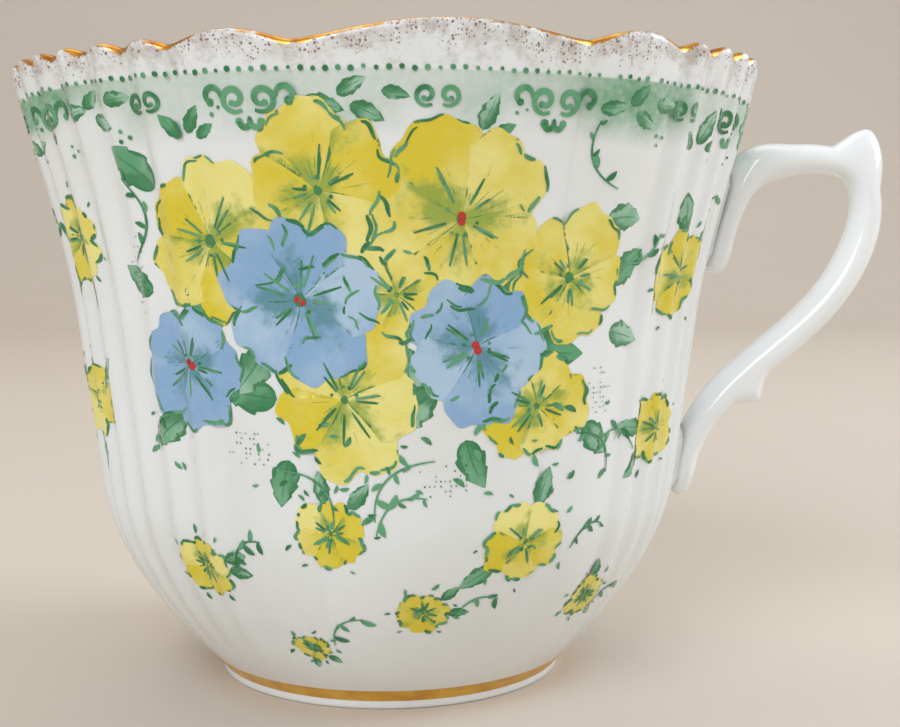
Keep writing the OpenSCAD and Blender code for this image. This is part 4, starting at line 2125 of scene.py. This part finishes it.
    def border(self) -> None:
        """Prints the dotted line under the rim, and the scrolls and leaves that hang from it."""
        count = round(math.tau * self.wall.outer_r(self.wall.line_z) / self.dot_pitch)
        for i in range(count):
            place = self.under_line(FULL_TURN * i / count, -self.within(self.line_wobble))
            if self.chance.random() > self.line_gaps:
                self.dots(place, [(0.0, 0.0)], self.line_dot_r)
        for i in range(self.repeats):
            start = self.border_start + FULL_TURN * i / self.repeats
            for offset, drop, size, parts in self.border_scrolls:
                self.scroll(self.under_line(start + offset, drop), size * MM, parts)
            for offset, drop, turn, length in self.border_leaves:
                place = self.under_line(start + offset, drop, turn + self.within(self.border_leaf_turn))
                tall = length * self.within(self.border_leaf_spread) * MM
                bend = self.within(self.border_leaf_bend) * MM
                self.lay_leaf(place, tall, self.border_leaf_width * tall, bend)
            for offset, drop in self.border_triads:
                place = self.under_line(start + offset, drop, self.within(self.triad_turn))
                in_spray = off_nearest(place.angle - self.spray_turn, HALF_TURN) < self.spray_half
                if drop < self.triad_clear or not in_spray:
                    self.triad(place)

    def stipple(self, centre: Patch, x: float, y: float, wide: float, tall: float) -> None:
        """Prints a field of fine dots in loose rows, thinning out from its middle.

        Args:
            centre: The drawing that it is part of.
            x: Its middle across the drawing.
            y: Its middle up the drawing.
            wide: Half of its width.
            tall: Half of its height.
        """
        gap = self.fine_gap
        for row in range(round(-tall / gap), round(tall / gap) + 1):
            for column in range(round(-wide / gap), round(wide / gap) + 1):
                away = math.hypot(column * gap / wide, row * gap / tall)
                if self.chance.random() < self.fine_crowd - away:
                    jitter = self.within(self.fine_jitter) * MM
                    self.dots(centre, [(x + column * gap + jitter, y + row * gap)], self.fine_dot_r)

    def spray(self, centre: Patch) -> None:
        """Lays one large spray of leaves, open blossoms, tendrils, dashes and fine dots.

        Args:
            centre: Its middle.
        """
        for x, y, turn in self.spray_leaves:
            place = centre.moved(x * MM, y * MM, turn + self.within(self.spray_leaf_turn))
            length = self.within(self.spray_leaf_length) * MM
            bend = self.within(self.spray_leaf_bend) * MM
            self.lay_leaf(place, length, self.spray_leaf_width * length, bend)
        for x, y, radius, pigment, reds in self.spray_blossoms:
            place = centre.moved(x * MM, y * MM, self.within(self.blossom_turn))
            self.blossom(place, radius * MM, pigment, reds=reds)
        for x, y, turn, side in self.spray_tendrils:
            reach = self.within(self.spray_tendril_reach) * MM
            self.tendril(centre.moved(x * MM, y * MM, turn), reach, side)
        for _ in range(self.spray_dashes):
            x, y = self.within(self.spray_dash_x), self.within(self.spray_dash_y)
            place = centre.moved(x * MM, y * MM, self.within(self.any_turn))
            self.dash(place, self.within(self.spray_dash_length) * MM)
        for x, y, wide, tall in self.spray_stipples:
            self.stipple(centre, x * MM, y * MM, wide * MM, tall * MM)

    def small_blossom(self, angle: float, z: float, radius: float) -> None:
        """Lays one scattered blossom with a few leaves, dashes round it and a tendril.

        Args:
            angle: Degrees from the front towards the handle.
            z: Height of its middle.
            radius: From its middle to its petals' tips.
        """
        place = Patch(self.wall, angle, z, self.within(self.blossom_turn))
        for _ in range(self.small_leaves):
            turned = place.moved(0.0, 0.0, self.within(self.any_turn))
            sprout = turned.moved(0.0, self.small_leaf_at * radius)
            self.lay_leaf(sprout, self.small_leaf_length * radius, self.small_leaf_width * radius)
        self.blossom(place, radius, Pigment.YELLOW, self.chance.choice(self.small_petals))
        for i in range(self.round_dashes):
            turn = FULL_TURN * i / self.round_dashes + self.within(self.round_dash_turn)
            turned = place.moved(0.0, 0.0, turn)
            tip = turned.moved(0.0, self.round_dash_at * radius, self.within(self.round_dash_lean))
            self.dash(tip, self.within(self.round_dash_length) * MM)
        side = self.chance.choice((-1.0, 1.0))
        lean = self.within(self.small_tendril_lean) * side
        start = Patch(self.wall, angle, z, lean).moved(0.0, self.small_tendril_at * radius)
        self.tendril(start, self.within(self.small_tendril_reach) * MM, side)

    def build(self, finishes: dict[Pigment, bpy.types.Material]) -> list[bpy.types.Object]:
        """Draws the whole decoration and makes one piece of each colour.

        Args:
            finishes: The material of each colour.

        Returns:
            The pieces.
        """
        self.border()
        sides = (0.0, HALF_TURN)
        for side in sides:
            self.spray(Patch(self.wall, self.spray_turn + side, self.spray_z))
        for side in sides:
            for offset, z, radius in self.scattered:
                self.small_blossom(side + offset, z * MM, radius * MM)
        return [layer.finish(finishes[pigment]) for pigment, layer in self.layers.items()]


@dataclass
class Studio:
    """Pale ground, soft light and the camera at the photograph's angle."""

    ground_half: float = 1.2
    wall_tall: float = 1.4
    sweep: float = 0.5
    sweep_rows: int = 24
    aim_z: float = 0.035
    camera_place: Place = (0.0, -0.160, 0.0481)
    camera_turn: float = 0.0445
    camera_dip: float = 0.080
    lens: float = 54.0
    sensor: float = 36.0
    clip_start: float = 0.005
    world_light: float = 0.45
    room: Colour = paint(248, 248, 248)
    backdrop: Colour = paint(222, 213, 202)
    lamps: tuple[tuple[str, Place, float, float, Colour], ...] = (
        ("front_light", (-0.40, -0.85, 0.70), 7.0, 0.7, paint(240, 247, 255)),
        ("side_light", (0.95, 0.10, 0.55), 6.4, 0.6, paint(238, 246, 255)),
        ("top_light", (-0.1, 0.35, 1.1), 3.0, 0.8, paint(255, 250, 242)),
    )

    def ground(self, finish: bpy.types.Material) -> None:
        """Builds the ground with a back that sweeps up.

        Args:
            finish: Its material.
        """
        mesh = bmesh.new()
        bmesh.ops.create_grid(mesh, x_segments=1, y_segments=1, size=self.ground_half)
        back = [e for e in mesh.edges if all(v.co.y > self.ground_half - MM for v in e.verts)]
        raised = bmesh.ops.extrude_edge_only(mesh, edges=back)["geom"]
        bmesh.ops.translate(
            mesh, vec=(0, 0, self.wall_tall), verts=[g for g in raised if isinstance(g, bmesh.types.BMVert)]
        )
        round_edges(mesh, back, self.sweep, self.sweep_rows)
        bmesh.ops.recalc_face_normals(mesh, faces=mesh.faces)
        floor = to_object("ground", mesh, finish)

    def lamp(self, name: str, place: Place, power: float, size: float, colour: Colour) -> None:
        """Hangs one soft square lamp that faces the cup.

        Args:
            name: Its name.
            place: Where it hangs.
            power: Its power, in watts.
            size: Its side.
            colour: Colour of its light.
        """
        data = bpy.data.lights.new(name, "AREA")
        data.energy = power
        data.size = size
        data.color = colour[:3]
        made = put_in_scene(name, data)
        made.location = place
        aim = Vector((0.0, 0.0, self.aim_z)) - Vector(place)
        made.rotation_euler = aim.to_track_quat("-Z", "Y").to_euler()

    def light(self) -> None:
        """Hangs the lamps and sets the plain world light."""
        world = bpy.data.worlds.new("soft_room")
        world.use_nodes = True
        graph = Graph(world.node_tree)
        sky = world.node_tree.nodes["Background"]
        sky.inputs["Color"].default_value = self.room
        sky.inputs["Strength"].default_value = self.world_light
        seen = graph.add("ShaderNodeBackground")
        seen.inputs["Color"].default_value = self.backdrop
        rays = graph.add("ShaderNodeLightPath").outputs
        shown = graph.math("MAXIMUM", rays["Is Camera Ray"], rays["Is Glossy Ray"])
        shown = graph.math("MAXIMUM", shown, rays["Is Transmission Ray"])
        either = graph.add("ShaderNodeMixShader")
        for socket, value in zip(either.inputs, (shown, sky.outputs[0], seen.outputs[0])):
            graph.feed(socket, value)
        graph.feed(world.node_tree.nodes["World Output"].inputs["Surface"], either.outputs[0])
        bpy.context.scene.world = world
        for lamp in self.lamps:
            self.lamp(*lamp)

    def camera(self) -> None:
        """Sets the camera where the photograph was taken from."""
        data = bpy.data.cameras.new("photo_camera")
        data.lens = self.lens
        data.sensor_width = self.sensor
        data.clip_start = self.clip_start
        made = put_in_scene("photo_camera", data)
        made.location = self.camera_place
        made.rotation_euler = (math.pi / 2 - self.camera_dip, 0.0, -self.camera_turn)
        bpy.context.scene.camera = made
        bpy.context.scene.view_settings.view_transform = "Standard"

    def build(self) -> None:
        """Sets the whole studio."""
        self.ground(Backdrop().material())
        self.light()
        self.camera()


def enamels(group: NodeGroup) -> dict[Pigment, bpy.types.Material]:
    """Makes the finish of each fired colour.

    Args:
        group: The brushed look that the enamels share.

    Returns:
        The material of each colour.
    """
    finishes: dict[Pigment, Finish] = {
        Pigment.YELLOW: Enamel(
            group,
            "yellow_enamel",
            body=paint(224, 204, 42),
            pale=paint(242, 232, 142),
            shade=paint(142, 168, 58),
        ),
        Pigment.BLUE: Enamel(
            group,
            "blue_enamel",
            body=paint(138, 176, 214),
            pale=paint(178, 205, 228),
            shade=paint(82, 140, 156),
            hatch=5.0,
        ),
        Pigment.LEAF: Enamel(
            group,
            "leaf_enamel",
            body=paint(92, 162, 116),
            pale=paint(166, 204, 180),
            shade=paint(50, 130, 80),
            outline=0.36,
            vein=0.7,
            shade_reach=0.5,
        ),
        Pigment.LINE: Ink("green_print", full=paint(36, 118, 68), thin=paint(98, 166, 122)),
        Pigment.RED: Ink("red_enamel", full=paint(170, 24, 30), thin=paint(192, 50, 44)),
    }
    return {pigment: finish.material() for pigment, finish in finishes.items()}


def main() -> None:
    """Builds the cup piece by piece, sets the studio and notes the size."""
    logging.basicConfig(level=logging.INFO, format="%(message)s")
    wall = FlutedWall()
    uneven = uneven_glaze_group()
    plain = Glaze(uneven).material()
    rubbed = rubbed_and_shaded_rim_group()
    gilt = Gilding(uneven, rubbed).material()
    foot_gilt = Gilding(
        uneven, rubbed, "foot_gilding", gold=paint(234, 184, 52), deep=paint(214, 152, 30), metal=0.35
    ).material()
    # Painted light: the handle gets a lighter copy of the plain glaze, so that it looks more strongly lit
    # than the body of the same porcelain.
    painted_light_glaze = Glaze(uneven, "handle_glaze_painted_light", white=paint(247, 249, 250), shade=paint(241, 243, 243)).material()
    bordered = BorderedGlaze(uneven, line_z=wall.line_z, rubbed=rubbed).material()
    foot = Foot()
    lines = GiltLines(wall)
    pieces = [
        CupBody(wall).build(bordered),
        foot.build(plain),
        foot.dress(plain),
        Handle(wall).build(painted_light_glaze),
        SlipFillet(wall, "upper_slip_joint").build(plain),
        SlipFillet(wall, "lower_slip_joint", more_above=1.6 * MM).build(plain),
        lines.build_rim(gilt),
        lines.build_foot(foot_gilt),
        *Decoration(wall).build(enamels(brushed_enamel_group())),
    ]
    Studio().build()
    for piece in pieces:
        LOG.info("%s: %d faces", piece.name, len(piece.data.polygons))


if __name__ == "__main__":
    main()
